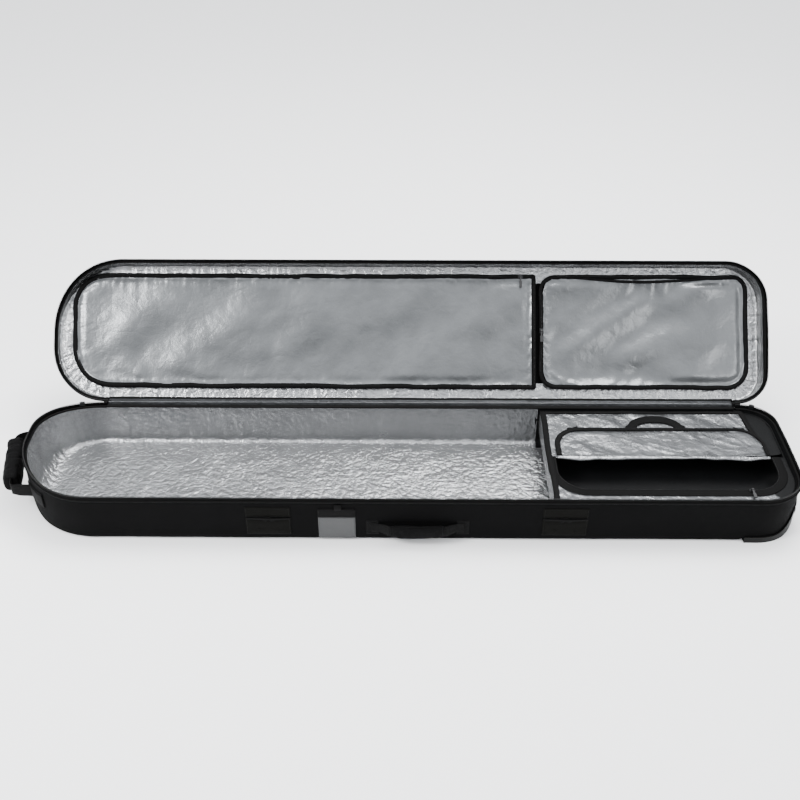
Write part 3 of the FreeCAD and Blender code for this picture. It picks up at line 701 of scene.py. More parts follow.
def base_shell():
    """Padded outer wall with its soft lower edge, turned in under the floor."""
    s = PLAN.samples(6.0)
    edge = PLAN.at(s)
    top, foot = rim_height(edge[:, 0]) - ZIP, floor_height(edge[:, 0]) + EDGE_R
    rows = [(0.0, top + (foot - top) * t) for t in np.linspace(0, 1, 14)]
    for turn in SHELL_TURNS:
        inset = EDGE_R * (1 - cos(turn))
        rows.append((inset, floor_height(PLAN.at(s, inset)[:, 0]) + EDGE_R * (1 - sin(turn))))
    padded, hem = len(rows), 28.0
    for inset, lift in ((hem, 0.3), (hem, 6.0), (14.0, 8.0), (SHELL_INSIDE, 20.0)):
        rows.append((inset, floor_height(PLAN.at(s, inset)[:, 0]) + lift))
    rows.append((SHELL_INSIDE, top))
    floor = floor_height(edge[:, 0])
    grid = wall_rows(s, rows, padded, lambda z: (z - floor) / RIM)
    shell = loft("base_shell", grid, SHELL, around=True, along=True)
    cut_wells(shell)
    finished(shell, "base", "shell_fabric", "base_front_wall", "base_rear_wall", "base_nose_wall",
             "base_tail_wall")


def cut_wells(piece):
    """Opens the shell where the wheels sit."""
    radius, half = WELL_R + 0.2, WELL_HALF - 0.3
    turn = np.linspace(0, 2 * pi, 48, endpoint=False)
    for side in (-1, 1):
        grid = [xyz(WHEEL_X + radius * np.cos(turn), side * WHEEL_Y + end, WHEEL_Z + radius * np.sin(turn))
                for end in (-half, half)]
        cutter = loft("well_cutter", grid, SHELL, around=True, caps=True)
        modifier = piece.modifiers.new("well", "BOOLEAN")
        modifier.operation, modifier.solver, modifier.object = "DIFFERENCE", "EXACT", cutter
        apply_modifiers(piece)
        bpy.data.objects.remove(cutter)


def side_reach(x, inset, front):
    """How far the plan reaches to the front or rear at each x."""
    tail_r, nose_r = (CORNER_RADII[1], CORNER_RADII[2]) if front else (CORNER_RADII[0], CORNER_RADII[3])
    reach = np.full(x.shape, HALF_W - inset)
    for radius, over in ((tail_r, x - (HALF_L - tail_r)), (nose_r, -x - (HALF_L - nose_r))):
        over = np.clip(over, 0, radius - inset)
        reach = np.minimum(reach, HALF_W - radius + np.sqrt((radius - inset) ** 2 - over ** 2))
    return -reach if front else reach


def plan_grid(x, inset, step):
    """A grid over the plan at the given x stations."""
    front, rear = side_reach(x, inset, True), side_reach(x, inset, False)
    t = np.linspace(0, 1, round(2 * HALF_W / step))
    y = front[:, None] + (rear - front)[:, None] * t
    return xyz(x[:, None], y, 0)


def stations(x0, x1, step):
    """Places along X, closer together near the two ends."""
    t = np.linspace(0, pi, round((x1 - x0) / step))
    even, eased = t / pi, (1 - np.cos(t)) / 2
    return x0 + (x1 - x0) * (0.6 * even + 0.4 * eased)


def base_bottom():
    """The tub's underside, up to the wheel tray."""
    margin, step = 20.0, 12.0
    under = plan_grid(stations(-HALF_L + margin, TRAY_X + 30, step), margin, step)
    lift = np.abs(smooth_noise(under, 90, 8)) * 0.6
    under[..., 2] = floor_height(under[..., 0]) + 0.05 + lift
    upper = under.copy()
    upper[..., 2] += 5.0
    finished(slab("base_bottom", under, upper, SHELL_DARK), "base", "shell_fabric", "base_bottom_panel")


def join(pieces):
    """Joins meshes into the first one and closes the seams between them."""
    bm = bmesh.new()
    for piece in pieces:
        bm.from_mesh(piece.data)
    bmesh.ops.remove_doubles(bm, verts=bm.verts, dist=0.00002)
    bmesh.ops.recalc_face_normals(bm, faces=bm.faces)
    bm.to_mesh(pieces[0].data)
    bm.free()
    for piece in pieces[1:]:
        bpy.data.objects.remove(piece)
    pieces[0].data.shade_smooth()
    return pieces[0]


def slab(name, outer, inner, material):
    """A closed piece between two grids of the same shape."""
    return join([loft(name, outer, material), loft(name + "_back", inner, material),
                 loft(name + "_edge", [edge_loop(outer), edge_loop(inner)], material, around=True)])


# ---- linings
def gathers(s, height, seed, amount):
    """Wrinkles that run across a long narrow band of lining, leaning a little each way."""
    lean = 9.0 * smooth_noise(xyz(s, 0, 0), 120, seed + 7)
    along = s + lean * height / 30
    p = xyz(along, height * 0.35, 0)
    big = creases(p, (26, 26, 26), seed, 2)
    fine = creases(p, (11, 30, 11), seed + 3, 2)
    return amount * (0.65 * big + 0.45 * fine)


def lining_band(name, s, material):
    """Wrinkled lining down the inside of the wall and round onto the floor, along part of the plan."""
    edge = PLAN.at(s, WALL)
    lift, radius = 9, 14
    top, foot = rim_height(edge[:, 0]) - ZIP + 1, floor_height(edge[:, 0]) + (lift + radius)
    rows = [(LINING, top + (foot - top) * t) for t in np.linspace(0, 1, 12)]
    for turn in LINING_TURNS:
        inset = LINING + radius * (1 - cos(turn))
        rows.append((inset, floor_height(PLAN.at(s, inset)[:, 0]) + lift + radius * (1 - sin(turn))))
    reach = 40.0
    rows.append((reach, floor_height(PLAN.at(s, reach)[:, 0]) + 9.3))
    grid = []
    for number, (inset, height) in enumerate(rows):
        fade = min(1.0, number / 2, (len(rows) - 1 - number) / 2)
        inward = fade * gathers(s, height, 20, 3.8)
        grid.append(ring_points(s, inset + inward, height + (inward * 0.3 if number > 11 else 0)))
    lining = loft(name, grid, material)
    return lining


def base_lining():
    """Silver lining of the tub, dark lining of the compartment and the sheet on the floor."""
    front_end, rear_end = BOOT_END + 6, BOOT_START + PLAN.total - 6
    silver = lining_band("base_lining_walls", np.arange(front_end, rear_end, 4.0), SILVER)
    finished(silver, "base", "silver_lining", "base_lining")
    dark = lining_band("boot_wall_lining", np.arange(rear_end - 8 - PLAN.total, front_end + 8, 4.0),
                       BOOT_CLOTH)
    finished(dark, "base", "boot_lining")

    margin = 34.0
    x = stations(-HALF_L + margin, TRAY_X + 44, 7.0)
    grid = plan_grid(x, margin, 8.0)
    wrinkle = 2.6 * creases(grid, (70, 120, 60), 31) + 1.2 * smooth_noise(grid, 160, 35)
    grid[..., 2] = floor_height(grid[..., 0]) + 9.6 + np.maximum(wrinkle, 0)
    floor = loft("base_lining_floor", grid, SILVER)
    finished(floor, "base", "silver_lining")


# ---- zips
ZIP_START, ZIP_END = -(HALF_L - CORNER_RADII[0] - HINGE_X[1]), PLAN.rear(HINGE_X[0])


def rim_line(s, inset, offset):
    """Points along the zip line, offset from it in height, following the bow of the wheel end."""
    xy = PLAN.at(s, inset)
    xy = PLAN.at(s, inset - end_bow(xy, 1.0))
    return raised(xy, rim_height(xy[:, 0]) + offset)


def zip_half(name, body, side, place, node, start_z):
    """Tape, binding and coil of one half. side is -1 for the half below the zip line and 1 above."""
    s = np.arange(ZIP_START, ZIP_END, 5.0)
    ends = start_z + side * np.array([ZIP + 1.5, 3.0])
    section = [(1.6, ends[1]), (1.5, ends[0]), (2.4, ends[0] - side * 0.8), (3.6, ends[0]), (3.4, ends[1]),
               (2.5, ends[1] - side * 0.6)]
    wave = 0.35 * smooth_noise(xyz(s, 0, 0), 34, 41)
    grid = [rim_line(s, inset + wave, height) for inset, height in section]
    finished(loft(name + "_zip_tape", place(np.swapaxes(grid, 0, 1)), TAPE, around=True, caps=True), body,
             "zip_tape", node)

    edge = start_z + side * (ZIP + 0.5)
    for label, inset, radius in (("outer", 0.9, 2.2), ("inner", 6.6, 3.0)):
        path = place(rim_line(s, inset, edge))
        finished(sweep(f"{name}_binding_{label}", path, UP, round_section(radius), BINDING), body, "zip_tape")

    middle, tangent = spread_along(rim_line(s, 2.5, start_z + side * 1.5), 2.8)
    out = xyz(-tangent[:, 1], tangent[:, 0], 0)
    up = np.cross(tangent, out)
    tips = place(middle + tangent) - place(middle)
    outs = place(middle + out) - place(middle)
    ups = place(middle + up * side) - place(middle)
    teeth = scatter(name + "_zip_coil", place(middle), np.stack([tips, outs, ups], 1), (1.7, 3.0, 3.2), COIL)
    finished(teeth, body, "zip_tape")


def hinge_band(name, s, section, material, slot):
    """Cloth from the base's rim to the lid's.

    section holds the (inset, height) pairs on the base, those on the lid and the sag between them."""
    base_part, lid_part, sag = section
    rows = [rim_line(s, inset, height) for inset, height in base_part]
    over = [opened(rim_line(s, inset, height)) for inset, height in lid_part]
    middle = (rows[-1] + over[0]) / 2
    middle[:, 2] -= sag
    keys = np.stack(rows + [middle] + over, 1)
    grid = np.array([curve_through(line, count=20) for line in keys])
    grid[..., 2] += 0.7 * (creases(xyz(s[:, None], grid[..., 1], 0), (17, 30, 20), 51, 2) - 0.4)
    band = loft(name, grid, material)
    thicken(band, 0.8)
    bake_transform(band)
    finished(band, None, slot)
    return band


def hinge():
    """The silver strip inside, darkened with painted shade, its black outside and a black tab at each end."""
    s = np.arange(PLAN.rear(HINGE_X[0] + 2), PLAN.rear(HINGE_X[1] - 2), 6.0)
    silver = ([(4.0, -11.0), (2.4, -4.0), (0.6, 0.6)], [(3.0, 7.0), (7.6, 14.5)], 0.6)
    # the strip's darker silver is painted shade, standing for the shadow along the hinge
    strip = hinge_band("hinge_strip", s, silver, SILVER_PAINTED_SHADE, "silver_lining")
    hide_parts("hinge_gusset", "lid_hinge_strip")
    outside = ([(2.6, -11.0), (1.0, -4.0), (-0.9, 0.4)], [(1.4, 7.0), (6.0, 15.0)], 1.6)
    cover = hinge_band("hinge_cover", s, outside, BINDING, "shell_fabric")
    black = ([(3.0, -10.0), (1.0, -2.0), (0.0, 1.4)], [(1.0, 4.0), (4.0, 13.0)], 0.2)
    for name, x0, x1 in (("nose", -803.0, -780.0), ("tail", 852.0, 876.0)):
        points = np.arange(0, PLAN.total, 1.0)
        line = PLAN.at(points)
        found = points[(line[:, 1] > 100) & (line[:, 0] > x0) & (line[:, 0] < x1)]
        if name == "tail":
            found = np.sort(np.where(found > PLAN.total / 2, found - PLAN.total, found))
        tab = hinge_band("hinge_tab_" + name, found[::4], black, BINDING, "shell_fabric")


def hinge_edges():
    """Bound edges of both halves along the hinge, where no zip runs."""
    s = np.arange(PLAN.rear(HINGE_X[0]), PLAN.rear(HINGE_X[1]), 6.0)
    for name, body, place, offset in (("base", "base", as_is, -ZIP + 3.0), ("lid", "lid", opened, GAP + ZIP)):
        wave = 0.7 * smooth_noise(xyz(s, 0, 0), 80, 55)
        path = place(rim_line(s, 1.2, offset))
        finished(sweep(f"{name}_hinge_binding_outer", path, UP, round_section(2.3), BINDING), body,
                 "zip_tape")
        path = place(rim_line(s, 8.0 + wave, offset + wave))
        finished(sweep(f"{name}_hinge_binding_inner", path, (0, 1, 0.3), flat_section(10.0, 4.6), BINDING),
                 body, "zip_tape")


# ---- lid
def lid_edge_radius(normal):
    """The lid's top edge is rounder at its two ends than along its sides."""
    return 13.0 + 5.0 * normal[:, 0] ** 2


def lid_shell():
    """Padded wall of the lid with its round top edge and piping."""
    s = PLAN.samples(6.0)
    edge, normal = PLAN.at(s), PLAN.normal(s)
    radius = lid_edge_radius(normal)
    foot, top = rim_height(edge[:, 0]) + GAP + ZIP, LID_TOP_Z - radius
    rows = [(0.0, foot + (top - foot) * t) for t in np.linspace(0, 1, 7)]
    for turn in SHELL_TURNS:
        rows.append((radius * (1 - cos(turn)), top + radius * sin(turn)))
    padded, hem = len(rows), 26.0
    rows += [(hem, LID_TOP_Z + 0.8), (hem, LID_TOP_Z - 5), (10, LID_TOP_Z - 6), (SHELL_INSIDE, top - 2),
             (SHELL_INSIDE, foot)]
    grid = wall_rows(s, rows, padded, lambda z: 1 - 0.6 * (z - foot) / (LID_TOP_Z - foot))
    shell = loft("lid_shell", opened(grid), SHELL, around=True, along=True)
    finished(shell, "lid", "shell_fabric", "lid_front_wall", "lid_rear_wall", "lid_nose_wall",
             "lid_tail_wall")

    piping = ring_points(s, radius * 0.30, top + radius * 0.78)
    finished(sweep("lid_piping", opened(piping), lid_way(0, 0, 1), round_section(2.0), BINDING, closed=True),
             "lid", "shell_fabric")


def lid_top():
    """Padded panel of the lid, quilted by two long seams."""
    margin, step, seam_y = 18.0, 9.0, 92.0
    x = stations(-HALF_L + margin, HALF_L - margin, step)
    grid = plan_grid(x, margin, step)
    across = np.abs(grid[..., 1]) / (HALF_W - margin)
    ends = np.clip((HALF_L - margin - np.abs(grid[..., 0])) / 60, 0, 1)
    crown = 3.2 * smoothstep((1 - across) / 0.45) * smoothstep(ends)
    seam = 1.6 * np.exp(-((np.abs(grid[..., 1]) - seam_y) / 5) ** 2)
    dents = 0.9 * smooth_noise(grid, (150, 90, 60), 61) + 0.3 * smooth_noise(grid, 40, 62)
    grid[..., 2] = LID_TOP_Z + 0.6 + crown - seam + dents * smoothstep(ends * 2)
    inside = grid.copy()
    inside[..., 2] = LID_TOP_Z - 5.5
    panel = slab("lid_top_panel_cloth", opened(grid), opened(inside), SHELL)
    finished(panel, "lid", "shell_fabric", "lid_top_panel")
    rows = [(opened(xyz(x[6:-6], y, LID_TOP_Z + 2.6)), lid_way(0, 0, 1)) for y in (-seam_y, seam_y)]
    seams = stitches("lid_seam_stitches", rows, THREAD)
    finished(seams, "lid", "shell_fabric")


def lid_lining():
    """Wrinkled silver lining of the lid's walls, turned in under its top."""
    s = PLAN.samples(3.2)
    edge = PLAN.at(s, WALL)
    radius = 9
    foot, top = rim_height(edge[:, 0]) + GAP + ZIP - 1, LID_LINING_Z - radius
    rows = [(LINING, foot + (top - foot) * t) for t in np.linspace(0, 1, 10)]
    rows += [(LINING + radius * (1 - cos(turn)), top + radius * sin(turn)) for turn in LINING_TURNS]
    rows += [(inset, LID_LINING_Z) for inset in (22.0, 28.0, 34.0, 40.0, 47.0, 54.0)]
    grid = []
    for number, (inset, height) in enumerate(rows):
        fade = min(1.0, number / 2, (len(rows) - 1 - number) / 3)
        fold = fade * gathers(s, number * 6.0, 71, 5.2)
        flat = smoothstep((number - 9) / 4)
        grid.append(ring_points(s, inset + fold * (1 - flat), height - fold * flat))
    lining = loft("lid_lining_walls", opened(grid), SILVER, around=True)
    finished(lining, "lid", "silver_lining", "lid_lining")


# ---- lid pockets
POCKETS = {name: Outline(x0, x1, -POCKET_FRONT, POCKET_REAR, radii)
           for name, (x0, x1, radii) in POCKET_SHAPE.items()}


def pocket_frame(name):
    """Black zip tape round a pocket, on its gusset, a little wavy as sewn cloth is."""
    outline = POCKETS[name]
    s = outline.samples(3.5)
    p = xyz(s, 0, 0)
    wave = 1.5 * smooth_noise(p, 70, 81) + 0.5 * smooth_noise(p, 21, 82)
    lift = 1.2 * smooth_noise(p, 55, 83) + 0.4 * smooth_noise(p, 14, 84)
    xy = outline.at(s)
    divider = (xy[:, 0] > POCKET_DIVIDER[0]) & (xy[:, 0] < POCKET_DIVIDER[1])
    width = np.where(divider, 10.5, 13.0) + 1.0 * smooth_noise(p, 45, 85)
    z = POCKET_Z
    section = [(1.0, LID_LINING_Z - 0.6), (0.3, z + 6), (0.0, z + 1.0), (0.8, z - 0.6),
               (0.5 * width, z - 1.3),
               (width, z - 0.2), (width, z + 1.4), (3.0, z + 2.0), (2.2, z + 6), (2.6, LID_LINING_Z - 0.6)]
    grid = []
    for inset, height in section:
        free = (LID_LINING_Z - height) / (LID_LINING_Z - z)
        line = outline.at(s, inset + wave * free)
        grid.append(raised(line, height - lift * free))
    finished(loft(f"pocket_{name}_zip_band", opened(grid), TAPE, around=True, along=True), "lid", "zip_tape",
             "pocket_zip_" + name)

    if name == "long":
        run = np.concatenate([np.arange(outline.along[24] + 8, outline.along[25] - 8, 3.0),
                              np.arange(outline.along[49] + 4, outline.along[50] - 6, 3.0)])
    else:
        run = np.concatenate([np.arange(outline.along[49], outline.along[50], 3.0),
                              np.arange(outline.along[74], outline.along[75], 3.0)])
    shift = np.interp(run, s, wave)
    height = POCKET_Z - 1.9 - np.interp(run, s, lift)
    line = raised(outline.at(run, 5.0 + shift), height)
    rows = []
    for part in np.split(line, np.flatnonzero(np.linalg.norm(np.diff(line, axis=0), axis=1) > 12) + 1):
        if len(part) > 3:
            rows.append((opened(part), lid_way(0, 0, 1)))
    finished(stitches(f"pocket_{name}_zip_coil", rows, COIL, pitch=2.6, width=3.2), "lid", "zip_tape")
    if name == "short":
        zip_gape(outline)


def zip_gape(outline):
    """The panel's half of the short pocket's zip, which sags away from the frame's half."""
    run = np.arange(outline.along[49] + 60, outline.along[50] - 50, 5.0)
    t = (run - run[0]) / (run[-1] - run[0])
    sag = 11.5 * np.sin(pi * t) ** 0.8 + 0.9 * smooth_noise(xyz(run, 0, 0), 60, 88)
    path = raised(outline.at(run, 8.5 + sag), POCKET_Z - 3.4)
    section = flat_section(5.0 + 3.2 * np.sin(pi * t), 3.0)
    tape = sweep("pocket_short_zip_gape", opened(path), lid_way(0, 1, 0), section, TAPE)
    finished(tape, "lid", "zip_tape")


def pocket_panel(name):
    """Lining panel of a pocket, settled as cloth that is a little too big for its frame."""
    x0, x1, radii = POCKET_SHAPE[name]
    step = 7.0
    x = stations(x0 + PANEL_INSET, x1 - PANEL_INSET, step)

    def reach(y1, right, left):
        out = np.full(x.shape, y1)
        for radius, over in ((right, x - (x1 - right)), (left, (x0 + left) - x)):
            radius_in = max(radius - PANEL_INSET, 1.0)
            over = np.clip(over, 0, radius_in)
            out = np.minimum(out, y1 - radius_in + np.sqrt(radius_in ** 2 - over ** 2))
        return out

    rear = reach(POCKET_REAR - PANEL_INSET, radii[0], radii[3])
    front = -reach(POCKET_FRONT - PANEL_INSET, radii[1], radii[2])
    t = np.linspace(0, 1, round(300 / step))
    y = front[:, None] + (rear - front)[:, None] * t
    xx = np.broadcast_to(x[:, None], y.shape)
    grid = xyz(xx, y, POCKET_Z + 0.6)
    near = np.minimum.reduce([xx - x.min(), x.max() - xx, y - front[:, None], rear[:, None] - y])
    inside = smoothstep(near / 26)
    slant = sheared(grid, 0.7, 0.7)
    soft = smooth_noise(slant, (230, 110, 60), 91) + 0.5 * smooth_noise(slant, (110, 60, 60), 92)
    soft = soft * (1.2 if name == "long" else 3.0)
    slack = smoothstep((y + 60) / 170) * smoothstep((x0 + x1 - 2 * xx + 500) / 1400)
    ripple = smooth_noise(grid, (75, 48, 60), 93) + 0.5 * smooth_noise(grid, (40, 60, 60), 94)
    grid[..., 2] -= inside * (4.5 + 3.5 * soft + 3.6 * slack * ripple)
    panel = loft(f"pocket_{name}_panel_cloth", opened(grid), SILVER_SOFT)
    simulate(panel, edge_mask(y.shape), grow=0.022, gravity=0.25, frames=18, cap=6.0, bending=0.5)
    subdivide(panel)
    pucker_edges(panel, name)
    finished(panel, "lid", "silver_lining", "pocket_panel_" + name)


def pucker_edges(panel, name):
    """Small gathers where the panel is sewn to its zip."""
    mesh = panel.data
    co = np.zeros(len(mesh.vertices) * 3)
    mesh.vertices.foreach_get("co", co)
    world = co.reshape(-1, 3) / MM
    flat = turned(world, -1)
    x0, x1 = POCKET_SHAPE[name][:2]
    to_front = flat[:, 1] + POCKET_FRONT - PANEL_INSET
    to_rear = POCKET_REAR - PANEL_INSET - flat[:, 1]
    to_side = np.minimum(flat[:, 0] - x0 - PANEL_INSET, x1 - PANEL_INSET - flat[:, 0])
    front, rear, side = (np.exp(-np.clip(gap, 0, None) / fade) * smoothstep(gap / 4)
                         for gap, fade in ((to_front, 16), (to_rear, 12), (to_side, 14)))
    along_x = creases(flat * (1, 0.25, 0), (19, 30, 10), 95, 2)
    along_y = creases(flat * (0.25, 1, 0), (30, 17, 10), 97, 2)
    depth = 3.4 * front * along_x + 2.2 * rear * along_x + 2.6 * side * along_y
    direction = lid_way(0, 0, -1)
    mesh.vertices.foreach_set("co", ((world + depth[:, None] * direction) * MM).ravel())
    mesh.update()


# ---- boot compartment
def boot_line(inset, count):
    """The compartment's plan from the rear end of its divider round the tail to the front end."""
    s = np.linspace(BOOT_START, BOOT_END, count)
    xy = PLAN.at(s, WALL + 1.0 + inset)
    return np.maximum(xy, (BOOT_X + inset, -1000.0))


def well_top(x, y, clear):
    """Height of the wheel wells under a lining that stands clear of them."""
    radius = WELL_R + clear
    lift = np.sqrt(np.maximum(radius ** 2 - (x - WHEEL_X) ** 2, 0))
    over = np.abs(np.abs(y) - WHEEL_Y) < WELL_HALF + clear
    return np.where(over & (lift > 0), WHEEL_Z + lift, 0)


def boot_inside():
    """Dark walls and floor that hold the boots."""
    grid, count = [], 150
    heights = np.linspace(BOOT_FLOOR + 1, BOOT_TOP - 3, 9)
    divider = np.linspace(0, 1, 40)[1:-1, None]
    for inset, column in ((0.4, heights[::-1]), (3.0, heights)):
        for height in column:
            line = boot_line(inset, count)
            front, rear = line[-1], line[0]
            loop = np.concatenate([line, front + (rear - front) * divider])
            dent = 1.2 * smooth_noise(raised(loop, height), 70, 101)
            loop = loop + dent[:, None] * (np.array([WHEEL_X - 250, 0]) - loop) / 300 * (inset > 1)
            grid.append(raised(loop, height))
    walls = loft("boot_walls", grid, BOOT_CLOTH, around=True, along=True)
    finished(walls, "base", "boot_lining", "boot_wall")

    x = stations(BOOT_X + 4, HALF_L - WALL - 4, 7.0)
    floor = plan_grid(x, WALL + 4.0, 7.0)
    flat = BOOT_FLOOR + 3.5 + 1.4 * creases(floor, (60, 80, 60), 103, 2)
    floor[..., 2] = np.maximum(flat, well_top(floor[..., 0], floor[..., 1], 3.0))
    sheet = loft("boot_floor_lining", floor, BOOT_CLOTH)
    finished(sheet, "base", "boot_lining", "boot_floor")


def boot_divider():
    """Silver face and bound top edge of the wall between the two compartments."""
    y = np.linspace(-(HALF_W - WALL - 2), HALF_W - WALL - 2, 120)
    z = np.linspace(BOOT_FLOOR, BOOT_TOP - 1, 12)
    yy, zz = np.meshgrid(y, z)
    fold = creases(xyz(yy, zz * 0.4, 0), (34, 30, 30), 107, 2)
    grid = xyz(BOOT_X - 1.0 - 3.2 * fold * np.sin(pi * (zz - BOOT_FLOOR) / (BOOT_TOP - BOOT_FLOOR)), yy, zz)
    face = loft("boot_divider_face", grid, SILVER)
    finished(face, "base", "silver_lining")

    middle = BOOT_X + 3.0
    path = [(middle + 1.5 * sin(k * 0.9), -HALF_W + 10 + k * 36.4, BOOT_TOP + 0.6 + 0.6 * sin(k * 1.7))
            for k in range(11)]
    finished(sweep("boot_divider_binding", curve_through(path, 5), (1, 0, 0), flat_section(15, 4.5), BINDING),
             "base", "zip_tape")


def opening_line(grow):
    """The D opening's edge from the rear left end round the front to the rear right end, grown outwards."""
    x0, x1, y0, y1, radius = MOUTH_X0 - grow, MOUTH_X1 + grow, MOUTH_Y0 - grow, MOUTH_Y1, MOUTH_R + grow
    turn = np.linspace(0, pi / 2, 14)
    left = np.stack([x0 + radius - radius * np.cos(turn), y0 + radius - radius * np.sin(turn)], 1)
    right = np.stack([x1 - radius + radius * np.sin(turn), y0 + radius - radius * np.cos(turn)], 1)
    points = np.concatenate([[(x0, y1)], left, right, [(x1, y1)]])
    return evenly(points, MOUTH_POINTS)


def boot_top():
    """Panel over the compartment, its D opening and the zip round it."""
    inner = opening_line(ZIP_BAND)
    outer = boot_line(1.0, 400)[::-1]
    front_part = outer[outer[:, 1] < MOUTH_Y1]
    start = np.array([[BOOT_X + 6, MOUTH_Y1]])
    corner = np.array([[BOOT_X + 6, front_part[0][1]]])
    path = np.concatenate([start, corner, front_part, [[front_part[-1][0], MOUTH_Y1]]])
    border = evenly(path, MOUTH_POINTS)
    t = np.linspace(0, 1, 7)[:, None, None]
    grid = inner + (border - inner) * t
    height = BOOT_TOP - 1.0 + 1.1 * creases(raised(grid, 0), 30, 111, 2)
    grid = raised(grid, height)
    turn = np.flatnonzero(inner[:, 0] > MOUTH_X1 - 30)[0]
    for name, points, material, slot in (
            ("boot_front_panel", grid[:, :turn + 1], SILVER_FLAP, "silver_lining"),
            ("boot_tail_panel", grid[:, turn:], BOOT_CLOTH, "boot_lining")):
        piece = loft(name, points, material)
        thicken(piece, 1.2, offset=-1.0)
        finished(piece, "base", slot)

    z = BOOT_TOP
    section = [(0.0, z - 0.2), (3.0, z + 0.5), (ZIP_BAND, z + 0.4), (ZIP_BAND + 1.6, z - 0.3),
               (ZIP_BAND, z - 1.8), (1.0, z - 1.8)]
    p = np.linspace(0, 1300, MOUTH_POINTS)[:, None] * (1.0, 0, 0)
    wave = 0.35 * smooth_noise(p, 60, 113)
    rows = [raised(opening_line(grow), height + wave) for grow, height in section]
    finished(loft("boot_zip_band", np.swapaxes(rows, 0, 1), TAPE, around=True, caps=True), "base", "zip_tape",
             "boot_zip_tape")
    coil_line = raised(opening_line(2.4), BOOT_TOP + 0.7 + wave)
    finished(stitches("boot_zip_coil", [(coil_line, UP)], COIL, pitch=2.6, width=3.4), "base", "zip_tape")
    edge_line = raised(opening_line(ZIP_BAND - 2.0), BOOT_TOP + 0.5 + wave)
    finished(stitches("boot_zip_stitches", [(edge_line[:turn], UP)], THREAD, pitch=4.2), "base", "zip_tape")


def boot_rear():
    """Panel behind the opening, its binding and the dark gusset at the tail."""
    x = stations(BOOT_X + 8, PANEL_END, 6.0)
    y = np.linspace(FOLD_Y + 1, HALF_W - WALL - 12, 38)
    xx, yy = np.meshgrid(x, y, indexing="ij")
    slant = 1 - smoothstep((yy - FOLD_Y) / 190)
    xx = xx + slant * 24 * (xx - BOOT_X) / (PANEL_END - BOOT_X)
    limit = np.minimum(side_reach(xx[:, -1], WALL + 12.0, False), y[-1])[:, None]
    yy = FOLD_Y + 1 + (yy - FOLD_Y - 1) / (y[-1] - FOLD_Y - 1) * (limit - FOLD_Y - 1)
    p = xyz(xx, yy, 0)
    bulge = 4.2 * creases(sheared(p, 0.6, 0.8) + 30, (110, 46, 40), 121, 2)
    bulge = bulge + 1.6 * smooth_noise(p, (130, 60, 60), 122)
    handle = smoothstep((105 - np.abs(xx - MOUTH_MIDDLE)) / 25) * smoothstep((156 - yy) / 12)
    zz = BOOT_TOP - 1.8 + (1 - 0.85 * handle) * bulge * (0.2 + 0.8 * smoothstep((yy - 100) / 25))
    rear = loft("boot_rear_panel", xyz(xx, yy, zz), SILVER_FLAP)
    subdivide(rear)
    finished(rear, "base", "silver_lining", "boot_top_panel")

    edge = xyz(xx[:, -1], yy[:, -1] + 4, zz[:, -1] + 1.0)
    side = xyz(xx[-1], yy[-1], zz[-1] + 1.0)[::-1] + (4.0, 0, 0)
    path = curve_through(np.concatenate([edge[::6], side[3::6]]), 5)
    finished(sweep("boot_panel_binding", path, (0.7, 0.7, 0), flat_section(15, 4.0), BINDING), "base",
             "zip_tape")
    gap = plan_grid(stations(PANEL_END - 30, HALF_L - WALL - 6, 9.0), WALL + 6.0, 9.0)
    gap = gap[:, gap.shape[1] // 2 - 1:]
    gap[..., 2] = BOOT_TOP - 4.2 + 1.2 * creases(gap, 40, 125, 2)
    gusset = loft("boot_tail_gusset", gap, BOOT_CLOTH)
    finished(gusset, "base", "boot_lining")


# ---- boot flap
def flap_width(y):
    """Left and right edges of the flap at each y; its free corners are round."""
    back = np.clip(FLAP_END - y, 0, FLAP_R)
    cut = FLAP_R - np.sqrt(FLAP_R ** 2 - (FLAP_R - back) ** 2)
    return MOUTH_X0 + FLAP_MARGIN + cut, MOUTH_X1 - FLAP_MARGIN - cut


def flap():
    """The flap lies back from the fold, over the rear panel."""
    depth = 1 - np.cos(np.linspace(0, pi / 2, 34))
    y = FOLD_Y + 2 + (FLAP_END - 0.6 - FOLD_Y - 2) * (0.35 * depth + 0.65 * np.linspace(0, 1, 34))
    left, right = flap_width(y)
    t = np.linspace(0, 1, 96)
    xx = left[:, None] + (right - left)[:, None] * t
    yy = np.broadcast_to(y[:, None], xx.shape)
    p = xyz(xx, yy, 0)
    near = np.minimum.reduce([xx - left[:, None], right[:, None] - xx, FLAP_END - yy])
    inside = smoothstep(near / 30)
    belly = 3.0 * np.sin(pi * np.clip((yy - FOLD_Y) / (FLAP_END - FOLD_Y), 0, 1))
    folds = 5.4 * creases(sheared(p, 0.5, 0.9), (150, 46, 40), 131, 2) + 1.8 * smooth_noise(p, (110, 44, 40),
                                                                                            133)
    zz = BOOT_TOP + 3.0 + inside * (belly * 0.5 + folds) * 0.9
    sheet = loft("boot_flap_cloth", xyz(xx, yy, zz), SILVER_FLAP)
    simulate(sheet, edge_mask(xx.shape), grow=0.02, gravity=0.2, frames=14, cap=2.5, bending=0.3)
    subdivide(sheet)
    thicken(sheet, 1.0)
    finished(sheet, "flap", "silver_lining", "boot_flap")


